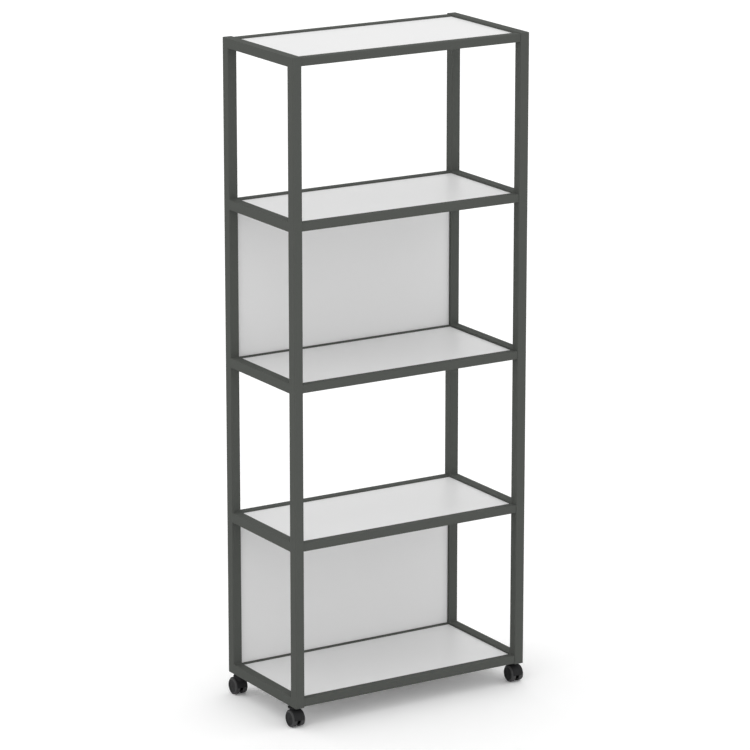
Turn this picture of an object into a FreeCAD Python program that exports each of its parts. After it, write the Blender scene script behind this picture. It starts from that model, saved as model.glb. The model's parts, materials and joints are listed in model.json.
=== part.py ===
import FreeCAD, Part
import Sketcher
import math
import os

# Mobile bookcase: two welded side frames, rails and boards between them, four twin-wheel castors.
# Millimetres, +Z up, +X to the right seen from the front, +Y to the back. The origin is on the floor
# under the centre of the bookcase.

# ------------------------------------------------------------------ driving dimensions, millimetres

SIZES = {
    # whole bookcase
    "overall_width": (800.0, "outer faces of the two side frames"),
    "overall_depth": (400.0, "front to back over the side frames"),
    "overall_height": (2000.0, "floor to the top of the side frames"),
    # tubes
    "post_tube": (30.0, "side of the square tube of the side frames"),
    "post_wall": (1.5, "wall of that tube"),
    "rail_tube": (25.0, "side of the square tube of the front and back rails"),
    "rail_wall": (1.5, "wall of that tube"),
    "bend_radius": (0.7, "radius inside the corners of both tubes"),
    # boards and panels
    "board_thickness": (18.0, "shelf board"),
    "board_gap": (0.8, "board to the rails round it"),
    "board_edge": (0.8, "rounding along the edges of the boards and panels"),
    "panel_thickness": (12.0, "back panel"),
    "panel_gap": (0.6, "panel to the posts and to the rail above"),
    # welded tabs and their screws
    "tab_thickness": (3.0, "flat plate under a board or behind a panel"),
    "tab_width": (30.0, "tab, along the tube that carries it"),
    "tab_reach": (22.0, "tab, out from that tube"),
    "shelf_tab_inset": (120.0, "centre of a shelf tab from the end of its rail"),
    "panel_tab_inset": (60.0, "centre of a panel tab from the end of its panel"),
    "screw_radius": (2.0, "shank of the countersunk screws"),
    "screw_head_reach": (2.0, "their heads beyond the shank, as 90 degree cones"),
    "shelf_screw_length": (15.0, "screw up into a board"),
    "panel_screw_length": (12.0, "screw forward into a panel"),
    "screw_clearance": (0.1, "round every screw, bolt and threaded shank"),
    # rail connectors
    "connector_length": (30.0, "block inside the end of a rail"),
    "connector_gap": (0.3, "block to the rail round it"),
    "connector_seat": (16.0, "block under the head of its bolt"),
    "bolt_radius": (3.0, "shank of the connector bolt"),
    "bolt_head_radius": (5.0, "its cylinder head"),
    "bolt_head_height": (6.0, "its cylinder head"),
    "bolt_engagement": (7.5, "bolt past the wall of the post"),
    "bolt_head_gap": (0.5, "round the head of the bolt"),
    "hex_key": (2.5, "across the flats of the hexagon sockets of the grub screws"),
    "hex_depth": (3.0, "depth of those sockets"),
    "grub_radius": (2.5, "grub screw"),
    "grub_tip_gap": (1.4, "tip of the grub screw to the bore of the bolt"),
    "grub_offset": (8.0, "grub screw from the end of its rail"),
    # castors
    "wheel_radius": (25.0, "castor wheel"),
    "wheel_width": (14.0, "castor wheel"),
    "wheel_rim": (5.0, "rim, from the tread inwards"),
    "wheel_lip": (1.5, "flat of the rim between the dish and the rounded shoulder"),
    "wheel_disc": (2.5, "disc that joins rim and hub"),
    "wheel_dish": (1.0, "disc, back from the outer face of the rim"),
    "wheel_hub": (6.5, "radius of the hub of the wheel"),
    "wheel_show": (4.0, "wheel that stands out beside the hood"),
    "axle_radius": (3.0, "wheel axle"),
    "axle_cover": (1.5, "disc over the end of the axle bore"),
    "axle_end_gap": (0.3, "end of the axle in its bore"),
    "running_fit": (0.05, "radial clearance of the axles and swivel pins"),
    "hood_clearance": (0.6, "wheel to the arch of the hood"),
    "hood_shell": (1.8, "shell of the arch"),
    "hood_drop": (0.5, "lower edge of the arch below the axle"),
    "hood_rounding": (0.8, "edges of the arch"),
    "boss_radius": (9.0, "boss of the hood round the axle"),
    "web_wall": (2.0, "web of the hood beside the swivel pin"),
    "web_gap": (0.5, "web of the hood to each wheel"),
    "turret_radius": (13.5, "round turret under the rail"),
    "turret_rise": (6.6, "turret above the arch"),
    "flange_reach": (4.5, "flange round the top of the turret"),
    "flange_height": (3.5, "that flange"),
    "flange_rounding": (1.2, "upper edge of that flange"),
    "castor_trail": (8.0, "axle outwards from the swivel axis"),
    "castor_inset": (38.0, "swivel axis from the front or back of the side frame"),
    "pin_radius": (4.0, "swivel pin"),
    "socket_depth": (18.0, "socket of the pin, from the top of the turret"),
    "pin_end_gap": (0.3, "end of the pin in its socket"),
    "collar_reach": (5.0, "collar of the stem beyond the pin"),
    "collar_height": (1.5, "collar of the stem"),
    "swivel_gap": (0.5, "collar to the top of the turret"),
    "thread_radius": (4.0, "threaded shank of the stem"),
    "thread_length": (13.0, "threaded shank above the flange of its insert"),
    "ring_rise": (3.0, "snap ring above the end of the pin"),
    "ring_height": (1.2, "snap ring, along the pin"),
    "ring_groove": (0.8, "depth of its groove in the pin"),
    "ring_stand": (0.7, "snap ring, out past the pin"),
    "ring_slot": (2.5, "opening of the snap ring"),
    "ring_gap": (0.1, "round the snap ring"),
    "insert_wall": (1.4, "sleeve of the threaded insert round the shank"),
    "insert_length": (14.0, "sleeve above its flange"),
    "insert_flange_reach": (2.5, "flange of the insert beyond the sleeve"),
    "insert_flange": (1.0, "flange of the insert, under the rail"),
}

# Levels from the floor up, and the levels whose back rail carries a panel.
LEVELS = ("bottom", "lower", "middle", "upper", "top")
PANEL_LEVELS = ("bottom", "middle")
SIDES = {"left": -1, "right": 1}
ENDS = {"front": -1, "back": 1}
BAYS = len(LEVELS) - 1
PANEL_STEP = LEVELS.index(PANEL_LEVELS[1]) - LEVELS.index(PANEL_LEVELS[0])

# Sizes that follow from the driving dimensions.
DERIVED = {
    "hood_radius": "Sizes.wheel_radius + Sizes.hood_clearance + Sizes.hood_shell",
    "well_radius": "Sizes.wheel_radius + Sizes.hood_clearance",
    "web_half": "Sizes.pin_radius + Sizes.web_wall",
    "wheel_start": "Layout.web_half + Sizes.web_gap",
    "hood_half": "Layout.wheel_start + Sizes.wheel_width - Sizes.wheel_show",
    "disc_face": "Sizes.wheel_width - Sizes.wheel_dish",
    "axle_bore_end": "Layout.disc_face - Sizes.axle_cover",
    "axle_y": "Layout.swivel_y + Sizes.castor_trail",
    "turret_top": "Sizes.wheel_radius + Layout.hood_radius + Sizes.turret_rise",
    "collar_bottom": "Layout.turret_top + Sizes.swivel_gap",
    "collar_top": "Layout.collar_bottom + Sizes.collar_height",
    "castor_height": "Layout.collar_top + Sizes.insert_flange",
    "socket_bottom": "Layout.turret_top - Sizes.socket_depth",
    "pin_bottom": "Layout.socket_bottom + Sizes.pin_end_gap",
    "ring_bottom": "Layout.pin_bottom + Sizes.ring_rise",
    "ring_top": "Layout.ring_bottom + Sizes.ring_height",
    "ring_radius": "Sizes.pin_radius + Sizes.ring_stand",
    "groove_radius": "Sizes.pin_radius - Sizes.ring_groove",
    "collar_radius": "Sizes.pin_radius + Sizes.collar_reach",
    "thread_hole": "Sizes.thread_radius + Sizes.screw_clearance",
    "insert_radius": "Layout.thread_hole + Sizes.insert_wall",
    "post_length": "Sizes.overall_height - Layout.castor_height",
    "pitch": f"(Layout.post_length - Sizes.post_tube) / {BAYS}",
    "post_x": "(Sizes.overall_width - Sizes.post_tube) / 2",
    "post_y": "(Sizes.overall_depth - Sizes.post_tube) / 2",
    "clear_half_width": "Sizes.overall_width / 2 - Sizes.post_tube",
    "clear_half_depth": "Sizes.overall_depth / 2 - Sizes.post_tube",
    "swivel_y": "Sizes.overall_depth / 2 - Sizes.castor_inset",
    "rail_rise": "(Sizes.post_tube - Sizes.rail_tube) / 2",
    "rail_inner_y": "Layout.post_y - Sizes.rail_tube / 2",
    "first_rail_bottom": "Layout.castor_height + Layout.rail_rise",
    "first_board_bottom": "Layout.first_rail_bottom + Sizes.tab_thickness",
    "first_panel_bottom": "Layout.first_rail_bottom + Sizes.rail_tube",
    "panel_height": "Layout.pitch - Sizes.rail_tube - Sizes.panel_gap",
    "panel_back_y": "Layout.post_y + Sizes.panel_thickness / 2",
    "connector_side": "Sizes.rail_tube - 2 * Sizes.rail_wall - 2 * Sizes.connector_gap",
    "counterbore_radius": "Sizes.bolt_head_radius + Sizes.bolt_head_gap",
    "bolt_hole": "Sizes.bolt_radius + Sizes.screw_clearance",
    "screw_hole": "Sizes.screw_radius + Sizes.screw_clearance",
    "grub_hole": "Sizes.grub_radius + Sizes.screw_clearance",
    "grub_length": "Sizes.rail_tube / 2 - Layout.bolt_hole - Sizes.grub_tip_gap",
    "insert_hole": "Layout.insert_radius + Sizes.screw_clearance",
    "shelf_tab_x": "Layout.clear_half_width - Sizes.shelf_tab_inset",
    "shelf_tab_y": "Layout.rail_inner_y - Sizes.tab_reach / 2",
    "panel_tab_x": "Layout.clear_half_width - Sizes.tab_reach / 2",
    "panel_tab_span": "Layout.panel_height - 2 * Sizes.panel_tab_inset",
    "grub_x": "Layout.clear_half_width - Sizes.grub_offset",
}

Z_AXIS = FreeCAD.Vector(0, 0, 1)
HALF_TURN = FreeCAD.Rotation(Z_AXIS, 180)

doc = FreeCAD.newDocument("mobile_bookcase")
sub_parts = []


def make_sheet():
    """Spreadsheet with one named cell for each driving dimension."""
    sheet = doc.addObject("Spreadsheet::Sheet", "Sizes")
    for row, (alias, (size, note)) in enumerate(SIZES.items(), start=1):
        sheet.set(f"A{row}", alias)
        sheet.set(f"B{row}", str(size))
        sheet.set(f"C{row}", note)
        sheet.setAlias(f"B{row}", alias)
    return sheet


def make_layout():
    """Variable set whose members are worked out from the sheet."""
    layout = doc.addObject("App::VarSet", "Layout")
    for name, expression in DERIVED.items():
        layout.addProperty("App::PropertyFloat", name, "Derived", expression)
    for name, expression in DERIVED.items():
        layout.setExpression(name, expression)
    return layout


sizes_sheet = make_sheet()
make_layout()
doc.recompute()


def value(expression):
    """Number that an expression over the sizes has now."""
    return float(sizes_sheet.evalExpression(str(expression)))


# ------------------------------------------------------------------ bodies, sketches and features


def new_body(label, x="0", y="0", z="0", rotation=None):
    """Sub-part with its own label, placed by expressions."""
    body = doc.addObject("PartDesign::Body", label)
    body.Label = label
    if rotation is not None:
        body.Placement = FreeCAD.Placement(FreeCAD.Vector(), rotation)
    for axis, expression in (("x", x), ("y", y), ("z", z)):
        body.setExpression(f".Placement.Base.{axis}", expression)
    sub_parts.append(body)
    return body


def origin_item(body, role):
    """Origin plane or axis of a body."""
    return next(item for item in body.Origin.OriginFeatures if item.Role == role)


def new_sketch(body, name, plane, offset="0"):
    """Sketch on an origin plane of its body, moved along the normal by an expression."""
    sketch = body.newObject("Sketcher::SketchObject", f"{body.Name}_{name}_sketch")
    sketch.AttachmentSupport = [(origin_item(body, plane), "")]
    sketch.MapMode = "FlatFace"
    sketch.setExpression(".AttachmentOffset.Base.z", offset)
    return sketch


def bind(sketch, kind, elements, expression):
    """Dimension whose datum follows an expression."""
    index = sketch.addConstraint(Sketcher.Constraint(kind, *elements, value(expression)))
    sketch.setExpression(f"Constraints[{index}]", str(expression))


def bind_point(sketch, geometry, position, x, y):
    """Hold a point of the sketch at (x, y) from the sketch's origin."""
    bind(sketch, "DistanceX", (-1, 1, geometry, position), x)
    bind(sketch, "DistanceY", (-1, 1, geometry, position), y)


def rounded_corner(corner, before, after, radius):
    """Tangent points, centre and turn of an arc between the lines that meet at a corner."""
    back = (before - corner).normalize()
    ahead = (after - corner).normalize()
    half_angle = back.getAngle(ahead) / 2
    run = radius / math.tan(half_angle)
    centre = corner + (back + ahead).normalize() * (radius / math.sin(half_angle))
    turns_left = (corner - before).cross(after - corner).z > 0
    return corner + back * run, corner + ahead * run, centre, turns_left


def draw_outline(sketch, corners):
    """Closed outline of lines through the corners.

    A corner is (x, y), or (x, y, radius) where an arc rounds it. All are expressions.
    """
    places = [FreeCAD.Vector(value(corner[0]), value(corner[1]), 0) for corner in corners]
    starts = list(places)
    ends = places[1:] + places[:1]
    arcs = {}
    for index, corner in enumerate(corners):
        if len(corner) < 3:
            continue
        before = places[index - 1]
        after = places[(index + 1) % len(places)]
        arcs[index] = rounded_corner(places[index], before, after, value(corner[2]))
        ends[index - 1] = arcs[index][0]
        starts[index] = arcs[index][1]
    lines = [
        sketch.addGeometry(Part.LineSegment(start, end), False)
        for start, end in zip(starts, ends)
    ]
    for index, corner in enumerate(corners):
        line_in = lines[index - 1]
        line_out = lines[index]
        if index not in arcs:
            sketch.addConstraint(Sketcher.Constraint("Coincident", line_in, 2, line_out, 1))
            bind_point(sketch, line_out, 1, corner[0], corner[1])
            continue
        arc_start, arc_end, centre, turns_left = arcs[index]
        first, last = (arc_start, arc_end) if turns_left else (arc_end, arc_start)
        first_angle = math.atan2(first.y - centre.y, first.x - centre.x)
        last_angle = math.atan2(last.y - centre.y, last.x - centre.x)
        circle = Part.Circle(centre, Z_AXIS, (first - centre).Length)
        arc = sketch.addGeometry(Part.ArcOfCircle(circle, first_angle, last_angle), False)
        apex = sketch.addGeometry(Part.Point(places[index]), True)
        near, far = (1, 2) if turns_left else (2, 1)
        sketch.addConstraint(Sketcher.Constraint("Tangent", line_in, 2, arc, near))
        sketch.addConstraint(Sketcher.Constraint("Tangent", line_out, 1, arc, far))
        sketch.addConstraint(Sketcher.Constraint("PointOnObject", apex, 1, line_in))
        sketch.addConstraint(Sketcher.Constraint("PointOnObject", apex, 1, line_out))
        bind(sketch, "Radius", (arc,), corner[2])
        bind_point(sketch, apex, 1, corner[0], corner[1])


def draw_box(sketch, left, right, bottom, top, *radius):
    """Rectangle between four expressions, with its corners rounded where a radius is given."""
    corners = ((left, bottom), (right, bottom), (right, top), (left, top))
    draw_outline(sketch, [corner + radius for corner in corners])


def draw_circle(sketch, x, y, radius):
    """Circle with its centre and radius from expressions."""
    centre = FreeCAD.Vector(value(x), value(y), 0)
    circle = sketch.addGeometry(Part.Circle(centre, Z_AXIS, value(radius)), False)
    bind(sketch, "Radius", (circle,), radius)
    bind_point(sketch, circle, 3, x, y)


def sweep(body, kind, name, sketch, length=None, symmetric=False, reverse=False):
    """Pad or pocket of a sketch: over a length, or through everything where none is given."""
    feature = body.newObject(f"PartDesign::{kind}", f"{body.Name}_{name}")
    feature.Profile = sketch
    if length is None:
        feature.Type = "ThroughAll"
    else:
        feature.setExpression("Length", length)
    feature.SideType = "Symmetric" if symmetric else "One side"
    feature.Reversed = reverse
    doc.recompute()
    return feature


def pad(body, name, sketch, length, **options):
    """Pad of a sketch."""
    return sweep(body, "Pad", name, sketch, length, **options)


def pocket(body, name, sketch, length=None, **options):
    """Pocket of a sketch, which must take material away."""
    before = body.Shape.Volume
    feature = sweep(body, "Pocket", name, sketch, length, **options)
    if body.Shape.Volume >= before:
        raise RuntimeError(f"{feature.Name} cuts nothing")
    return feature


def spin(body, kind, name, sketch, axis, edge=""):
    """Full turn of a sketch about an origin axis or a sketch's edge, as a Revolution or a Groove."""
    feature = body.newObject(f"PartDesign::{kind}", f"{body.Name}_{name}")
    feature.Profile = sketch
    feature.ReferenceAxis = (axis, [edge])
    feature.Angle = 360
    doc.recompute()
    return feature


def mirrored(plane):
    """Recipe of a mirror image about an origin plane."""

    def build(body):
        mirror = doc.addObject("PartDesign::Mirrored", f"{body.Name}_mirror")
        mirror.MirrorPlane = (origin_item(body, plane), [""])
        return mirror

    return build


def repeated(axis, length, count):
    """Recipe of evenly spaced copies along an origin axis, over a length."""

    def build(body):
        pattern = doc.addObject("PartDesign::LinearPattern", f"{body.Name}_row")
        pattern.Direction = (origin_item(body, axis), [""])
        pattern.setExpression("Length", length)
        pattern.Occurrences = count
        return pattern

    return build


def copy_features(body, originals, *recipes):
    """Copies of features by mirrors and rows, one after the other, as the body's last feature."""
    copies = body.newObject("PartDesign::MultiTransform", f"{body.Name}_copies")
    copies.Originals = originals
    copies.Transformations = [recipe(body) for recipe in recipes]
    body.Tip = copies
    doc.recompute()
    return copies


EVERY_LEVEL = repeated("Z_Axis", f"{BAYS} * Layout.pitch", len(LEVELS))
FOUR_CORNERS = (mirrored("YZ_Plane"), mirrored("XZ_Plane"))


def round_edges(body, name, radius, wanted):
    """Fillet of the edges that a test picks out."""
    base = body.Tip
    edges = [
        f"Edge{number}"
        for number, edge in enumerate(base.Shape.Edges, start=1)
        if wanted(edge)
    ]
    if not edges:
        raise RuntimeError(f"{body.Name}_{name} finds no edge")
    fillet = body.newObject("PartDesign::Fillet", f"{body.Name}_{name}")
    fillet.Base = (base, edges)
    fillet.setExpression("Radius", radius)
    doc.recompute()
    return fillet


# ------------------------------------------------------------------ side frames


def draw_tube(sketch, side, wall):
    """Section of a square tube, centred on the sketch's origin."""
    half = f"Sizes.{side} / 2"
    bore = f"(Sizes.{side} / 2 - Sizes.{wall})"
    draw_box(sketch, f"-{half}", half, f"-{half}", half, f"Sizes.bend_radius + Sizes.{wall}")
    draw_box(sketch, f"-{bore}", bore, f"-{bore}", bore, "Sizes.bend_radius")


def cut_mitre(body, name, outer, inner, edge, far):
    """Cut the end of a tube at 45 degrees in the body's YZ plane.

    The cut runs from (outer, edge) to (inner, far), and the corner at (inner, edge) is lost.
    """
    sketch = new_sketch(body, name, "YZ_Plane")
    draw_outline(sketch, [(outer, edge), (inner, far), (inner, edge)])
    pocket(body, name, sketch, symmetric=True)


def make_post(end, side):
    """Upright of a side frame, mitred to the top and bottom side rails."""
    body = new_body(
        f"{end}_{side}_post",
        x=f"{SIDES[side]} * Layout.post_x",
        y=f"{ENDS[end]} * Layout.post_y",
        z="Layout.castor_height",
    )
    section = new_sketch(body, "section", "XY_Plane")
    draw_tube(section, "post_tube", "post_wall")
    pad(body, "tube", section, "Layout.post_length")
    outer = f"{ENDS[end]} * Sizes.post_tube / 2"
    inner = f"{-ENDS[end]} * Sizes.post_tube / 2"
    top = "Layout.post_length"
    cut_mitre(body, "foot_mitre", outer, inner, "0", "Sizes.post_tube")
    cut_mitre(body, "head_mitre", outer, inner, top, f"{top} - Sizes.post_tube")
    bolt_hole = new_sketch(body, "bolt_hole", "YZ_Plane")
    draw_circle(bolt_hole, "0", "Sizes.post_tube / 2", "Layout.bolt_hole")
    drilling = pocket(
        body, "bolt_holes", bolt_hole, "Sizes.post_tube / 2 + Sizes.post_wall",
        reverse=SIDES[side] < 0,
    )
    copy_features(body, [drilling], EVERY_LEVEL)


def make_side_rail(level, side):
    """Cross tube of a side frame: mitred at the top and bottom, butted to the posts between."""
    index = LEVELS.index(level)
    body = new_body(
        f"{level}_{side}_side_rail",
        x=f"{SIDES[side]} * Layout.post_x",
        z=f"Layout.castor_height + {index} * Layout.pitch + Sizes.post_tube / 2",
    )
    outermost = index in (0, BAYS)
    section = new_sketch(body, "section", "XZ_Plane")
    draw_tube(section, "post_tube", "post_wall")
    half_length = "Sizes.overall_depth / 2" if outermost else "Layout.clear_half_depth"
    pad(body, "tube", section, f"2 * {half_length}", symmetric=True)
    if not outermost:
        return
    inward = -1 if index else 1
    for end, sign in ENDS.items():
        outer_y = f"{sign} * Sizes.overall_depth / 2"
        inner_y = f"{sign} * Layout.clear_half_depth"
        sketch = new_sketch(body, f"{end}_mitre", "YZ_Plane")
        outside = f"{-inward} * Sizes.post_tube / 2"
        inside = f"{inward} * Sizes.post_tube / 2"
        draw_outline(sketch, [(outer_y, outside), (inner_y, inside), (outer_y, inside)])
        pocket(body, f"{end}_mitre", sketch, symmetric=True)
    drill_corner_bolt_holes(body, side)
    if index == 0:
        drill_insert_holes(body)


def drill_corner_bolt_holes(body, side):
    """Halves of the bolt holes that the mitres of an outer side rail share with the posts."""
    hole = new_sketch(body, "bolt_hole", "YZ_Plane")
    draw_circle(hole, "Layout.post_y", "0", "Layout.bolt_hole")
    drilling = pocket(
        body, "bolt_holes", hole, "Sizes.post_tube / 2 + Sizes.post_wall", reverse=SIDES[side] < 0
    )
    copy_features(body, [drilling], mirrored("XZ_Plane"))


def drill_insert_holes(body):
    """Holes for the castor inserts in the lower wall of a bottom side rail."""
    hole = new_sketch(body, "insert_hole", "XY_Plane", "-Sizes.post_tube / 2")
    draw_circle(hole, "0", "Layout.swivel_y", "Layout.insert_hole")
    drilling = pocket(body, "insert_holes", hole, "2 * Sizes.post_wall", reverse=True)
    copy_features(body, [drilling], mirrored("XZ_Plane"))


# ------------------------------------------------------------------ rails and their connectors


def make_rail(level, end):
    """Front or back rail between the posts, with a grub screw hole below each end."""
    body = new_body(
        f"{level}_{end}_rail",
        y=f"{ENDS[end]} * Layout.post_y",
        z=f"Layout.first_rail_bottom + {LEVELS.index(level)} * Layout.pitch + Sizes.rail_tube / 2",
    )
    section = new_sketch(body, "section", "YZ_Plane")
    draw_tube(section, "rail_tube", "rail_wall")
    pad(body, "tube", section, "2 * Layout.clear_half_width", symmetric=True)
    hole = new_sketch(body, "grub_hole", "XY_Plane", "-Sizes.rail_tube / 2")
    draw_circle(hole, "Layout.grub_x", "0", "Layout.grub_hole")
    drilling = pocket(body, "grub_holes", hole, "2 * Sizes.rail_wall", reverse=True)
    copy_features(body, [drilling], mirrored("YZ_Plane"))


def make_rail_connectors():
    """Blocks in the ends of the rails, each with a stepped bolt hole and a grub screw thread."""
    body = new_body("rail_connectors", z="Layout.first_rail_bottom + Sizes.rail_tube / 2")
    half = "Layout.connector_side / 2"
    section = new_sketch(body, "section", "YZ_Plane", "Layout.clear_half_width")
    draw_box(
        section, f"Layout.post_y - {half}", f"Layout.post_y + {half}", f"-{half}", half,
        "Sizes.bend_radius",
    )
    block = pad(body, "block", section, "Sizes.connector_length", reverse=True)
    through = new_sketch(body, "bolt_hole", "YZ_Plane", "Layout.clear_half_width")
    draw_circle(through, "Layout.post_y", "0", "Layout.bolt_hole")
    bolt_hole = pocket(body, "bolt_hole", through, "Sizes.connector_length")
    wide = new_sketch(
        body, "counterbore", "YZ_Plane", "Layout.clear_half_width - Sizes.connector_seat"
    )
    draw_circle(wide, "Layout.post_y", "0", "Layout.counterbore_radius")
    counterbore = pocket(
        body, "counterbore", wide, "Sizes.connector_length - Sizes.connector_seat"
    )
    thread = new_sketch(body, "grub_hole", "XY_Plane", "-Layout.connector_side / 2")
    draw_circle(thread, "Layout.grub_x", "Layout.post_y", "Layout.grub_hole")
    grub_hole = pocket(body, "grub_hole", thread, "Layout.connector_side / 2", reverse=True)
    copy_features(
        body, [block, bolt_hole, counterbore, grub_hole], *FOUR_CORNERS, EVERY_LEVEL
    )


def make_connector_bolts():
    """Cylinder head bolts that hold the connector blocks to the posts."""
    body = new_body("connector_bolts", z="Layout.first_rail_bottom + Sizes.rail_tube / 2")
    under_head = "Layout.clear_half_width - Sizes.connector_seat"
    head_circle = new_sketch(body, "head", "YZ_Plane", under_head)
    draw_circle(head_circle, "Layout.post_y", "0", "Sizes.bolt_head_radius")
    head = pad(body, "head", head_circle, "Sizes.bolt_head_height", reverse=True)
    shank_circle = new_sketch(body, "shank", "YZ_Plane", under_head)
    draw_circle(shank_circle, "Layout.post_y", "0", "Sizes.bolt_radius")
    reach = "Sizes.connector_seat + Sizes.post_wall + Sizes.bolt_engagement"
    shank = pad(body, "shank", shank_circle, reach)
    copy_features(body, [head, shank], *FOUR_CORNERS, EVERY_LEVEL)


def draw_hexagon(sketch, x, y, across_flats):
    """Hexagon with two sides along X."""
    half = f"{across_flats} / 2"
    corner = f"{across_flats} / sqrt(3)"
    draw_outline(
        sketch,
        [
            (f"{x} + {corner}", y),
            (f"{x} + {corner} / 2", f"{y} + {half}"),
            (f"{x} - {corner} / 2", f"{y} + {half}"),
            (f"{x} - {corner}", y),
            (f"{x} - {corner} / 2", f"{y} - {half}"),
            (f"{x} + {corner} / 2", f"{y} - {half}"),
        ],
    )


def make_grub_screws():
    """Grub screws from below through the rails into their connectors."""
    body = new_body("connector_grub_screws", z="Layout.first_rail_bottom")
    circle = new_sketch(body, "shank", "XY_Plane")
    draw_circle(circle, "Layout.grub_x", "Layout.post_y", "Sizes.grub_radius")
    shank = pad(body, "shank", circle, "Layout.grub_length")
    hexagon = new_sketch(body, "socket", "XY_Plane")
    draw_hexagon(hexagon, "Layout.grub_x", "Layout.post_y", "Sizes.hex_key")
    socket = pocket(body, "socket", hexagon, "Sizes.hex_depth", reverse=True)
    copy_features(body, [shank, socket], *FOUR_CORNERS, EVERY_LEVEL)


# ------------------------------------------------------------------ boards, panels, tabs and screws


# The fifth side of a screw's half section lies on its axis.
SCREW_AXIS = "Edge5"


def countersunk(axis_x, length):
    """Half section of a countersunk screw, with its head at zero and its point up."""
    shank = f"{axis_x} + Sizes.screw_radius"
    return [
        (axis_x, "0"),
        (f"{shank} + Sizes.screw_head_reach", "0"),
        (shank, "Sizes.screw_head_reach"),
        (shank, f"{length} - Sizes.screw_radius"),
        (axis_x, length),
    ]


def is_outer_edge_of(box):
    """Test for the straight edges that lie on two faces of a box."""
    limits = (
        (box.XMin, box.XMax, "x"),
        (box.YMin, box.YMax, "y"),
        (box.ZMin, box.ZMax, "z"),
    )

    def wanted(edge):
        if edge.Curve.TypeId != "Part::GeomLine":
            return False
        ends = [vertex.Point for vertex in edge.Vertexes]
        on_faces = 0
        for low, high, axis in limits:
            places = [getattr(point, axis) for point in ends]
            on_faces += any(all(math.isclose(p, face, abs_tol=1e-6) for p in places)
                            for face in (low, high))
        return on_faces == 2

    return wanted


def make_shelf(level):
    """Board that lies on the tabs of the rails, with pilot holes below."""
    body = new_body(
        f"{level}_shelf", z=f"Layout.first_board_bottom + {LEVELS.index(level)} * Layout.pitch"
    )
    half_x = "(Layout.clear_half_width - Sizes.board_gap)"
    half_y = "(Layout.rail_inner_y - Sizes.board_gap)"
    outline = new_sketch(body, "outline", "XY_Plane")
    draw_box(outline, f"-{half_x}", half_x, f"-{half_y}", half_y)
    board = pad(body, "board", outline, "Sizes.board_thickness")
    round_edges(body, "edges", "Sizes.board_edge", is_outer_edge_of(board.Shape.BoundBox))
    pilot = new_sketch(body, "pilot_hole", "XY_Plane")
    draw_circle(pilot, "Layout.shelf_tab_x", "Layout.shelf_tab_y", "Layout.screw_hole")
    depth = "Sizes.shelf_screw_length - Sizes.tab_thickness + Sizes.screw_clearance"
    hole = pocket(body, "pilot_holes", pilot, depth, reverse=True)
    copy_features(body, [hole], *FOUR_CORNERS)


def make_shelf_tabs():
    """Plates welded to the rails, flush with their lower faces, under the boards."""
    body = new_body("shelf_tabs", z="Layout.first_rail_bottom")
    plate = new_sketch(body, "plate", "XY_Plane")
    draw_box(
        plate,
        "Layout.shelf_tab_x - Sizes.tab_width / 2", "Layout.shelf_tab_x + Sizes.tab_width / 2",
        "Layout.rail_inner_y - Sizes.tab_reach", "Layout.rail_inner_y",
    )
    tab = pad(body, "plate", plate, "Sizes.tab_thickness")
    hole, sink = drill_countersunk(
        body, "XY_Plane", "Layout.shelf_tab_x", "Layout.shelf_tab_y", "0", reverse=True
    )
    copy_features(body, [tab, hole, sink], *FOUR_CORNERS, EVERY_LEVEL)


def drill_countersunk(body, plane, x, y, offset, reverse):
    """Hole of a countersunk screw: the shank's bore and the cone of its head."""
    circle = new_sketch(body, "screw_hole", plane, offset)
    draw_circle(circle, x, y, "Layout.screw_hole")
    bore = pocket(body, "screw_hole", circle, "Sizes.tab_thickness", reverse=reverse)
    mouth = new_sketch(body, "countersink", plane, offset)
    draw_circle(mouth, x, y, "Layout.screw_hole + Sizes.screw_head_reach")
    cone = pocket(body, "countersink", mouth, "Sizes.screw_head_reach", reverse=reverse)
    cone.TaperAngle = -45
    doc.recompute()
    return bore, cone


def make_shelf_screws():
    """Countersunk screws from below through the shelf tabs."""
    body = new_body("shelf_screws", z="Layout.first_rail_bottom")
    profile = new_sketch(body, "profile", "XZ_Plane", "-Layout.shelf_tab_y")
    draw_outline(profile, countersunk("Layout.shelf_tab_x", "Sizes.shelf_screw_length"))
    screw = spin(body, "Revolution", "turned", profile, profile, SCREW_AXIS)
    copy_features(body, [screw], *FOUR_CORNERS, EVERY_LEVEL)


def make_panel(level):
    """Back panel that stands on the back rail of its level, between the posts."""
    body = new_body(
        f"{level}_back_panel",
        y="Layout.post_y",
        z=f"Layout.first_panel_bottom + {LEVELS.index(level)} * Layout.pitch",
    )
    half_x = "(Layout.clear_half_width - Sizes.panel_gap)"
    outline = new_sketch(body, "outline", "XZ_Plane")
    draw_box(outline, f"-{half_x}", half_x, "0", "Layout.panel_height")
    panel = pad(body, "board", outline, "Sizes.panel_thickness", symmetric=True)
    round_edges(body, "edges", "Sizes.board_edge", is_outer_edge_of(panel.Shape.BoundBox))
    pilot = new_sketch(body, "pilot_hole", "XZ_Plane", "-Sizes.panel_thickness / 2")
    draw_circle(pilot, "Layout.panel_tab_x", "Sizes.panel_tab_inset", "Layout.screw_hole")
    depth = "Sizes.panel_screw_length - Sizes.tab_thickness + Sizes.screw_clearance"
    hole = pocket(body, "pilot_holes", pilot, depth, reverse=True)
    copy_features(
        body, [hole], mirrored("YZ_Plane"), repeated("Z_Axis", "Layout.panel_tab_span", 2)
    )


PANEL_COPIES = (
    mirrored("YZ_Plane"),
    repeated("Z_Axis", "Layout.panel_tab_span", 2),
    repeated("Z_Axis", f"{PANEL_STEP} * Layout.pitch", len(PANEL_LEVELS)),
)


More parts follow.
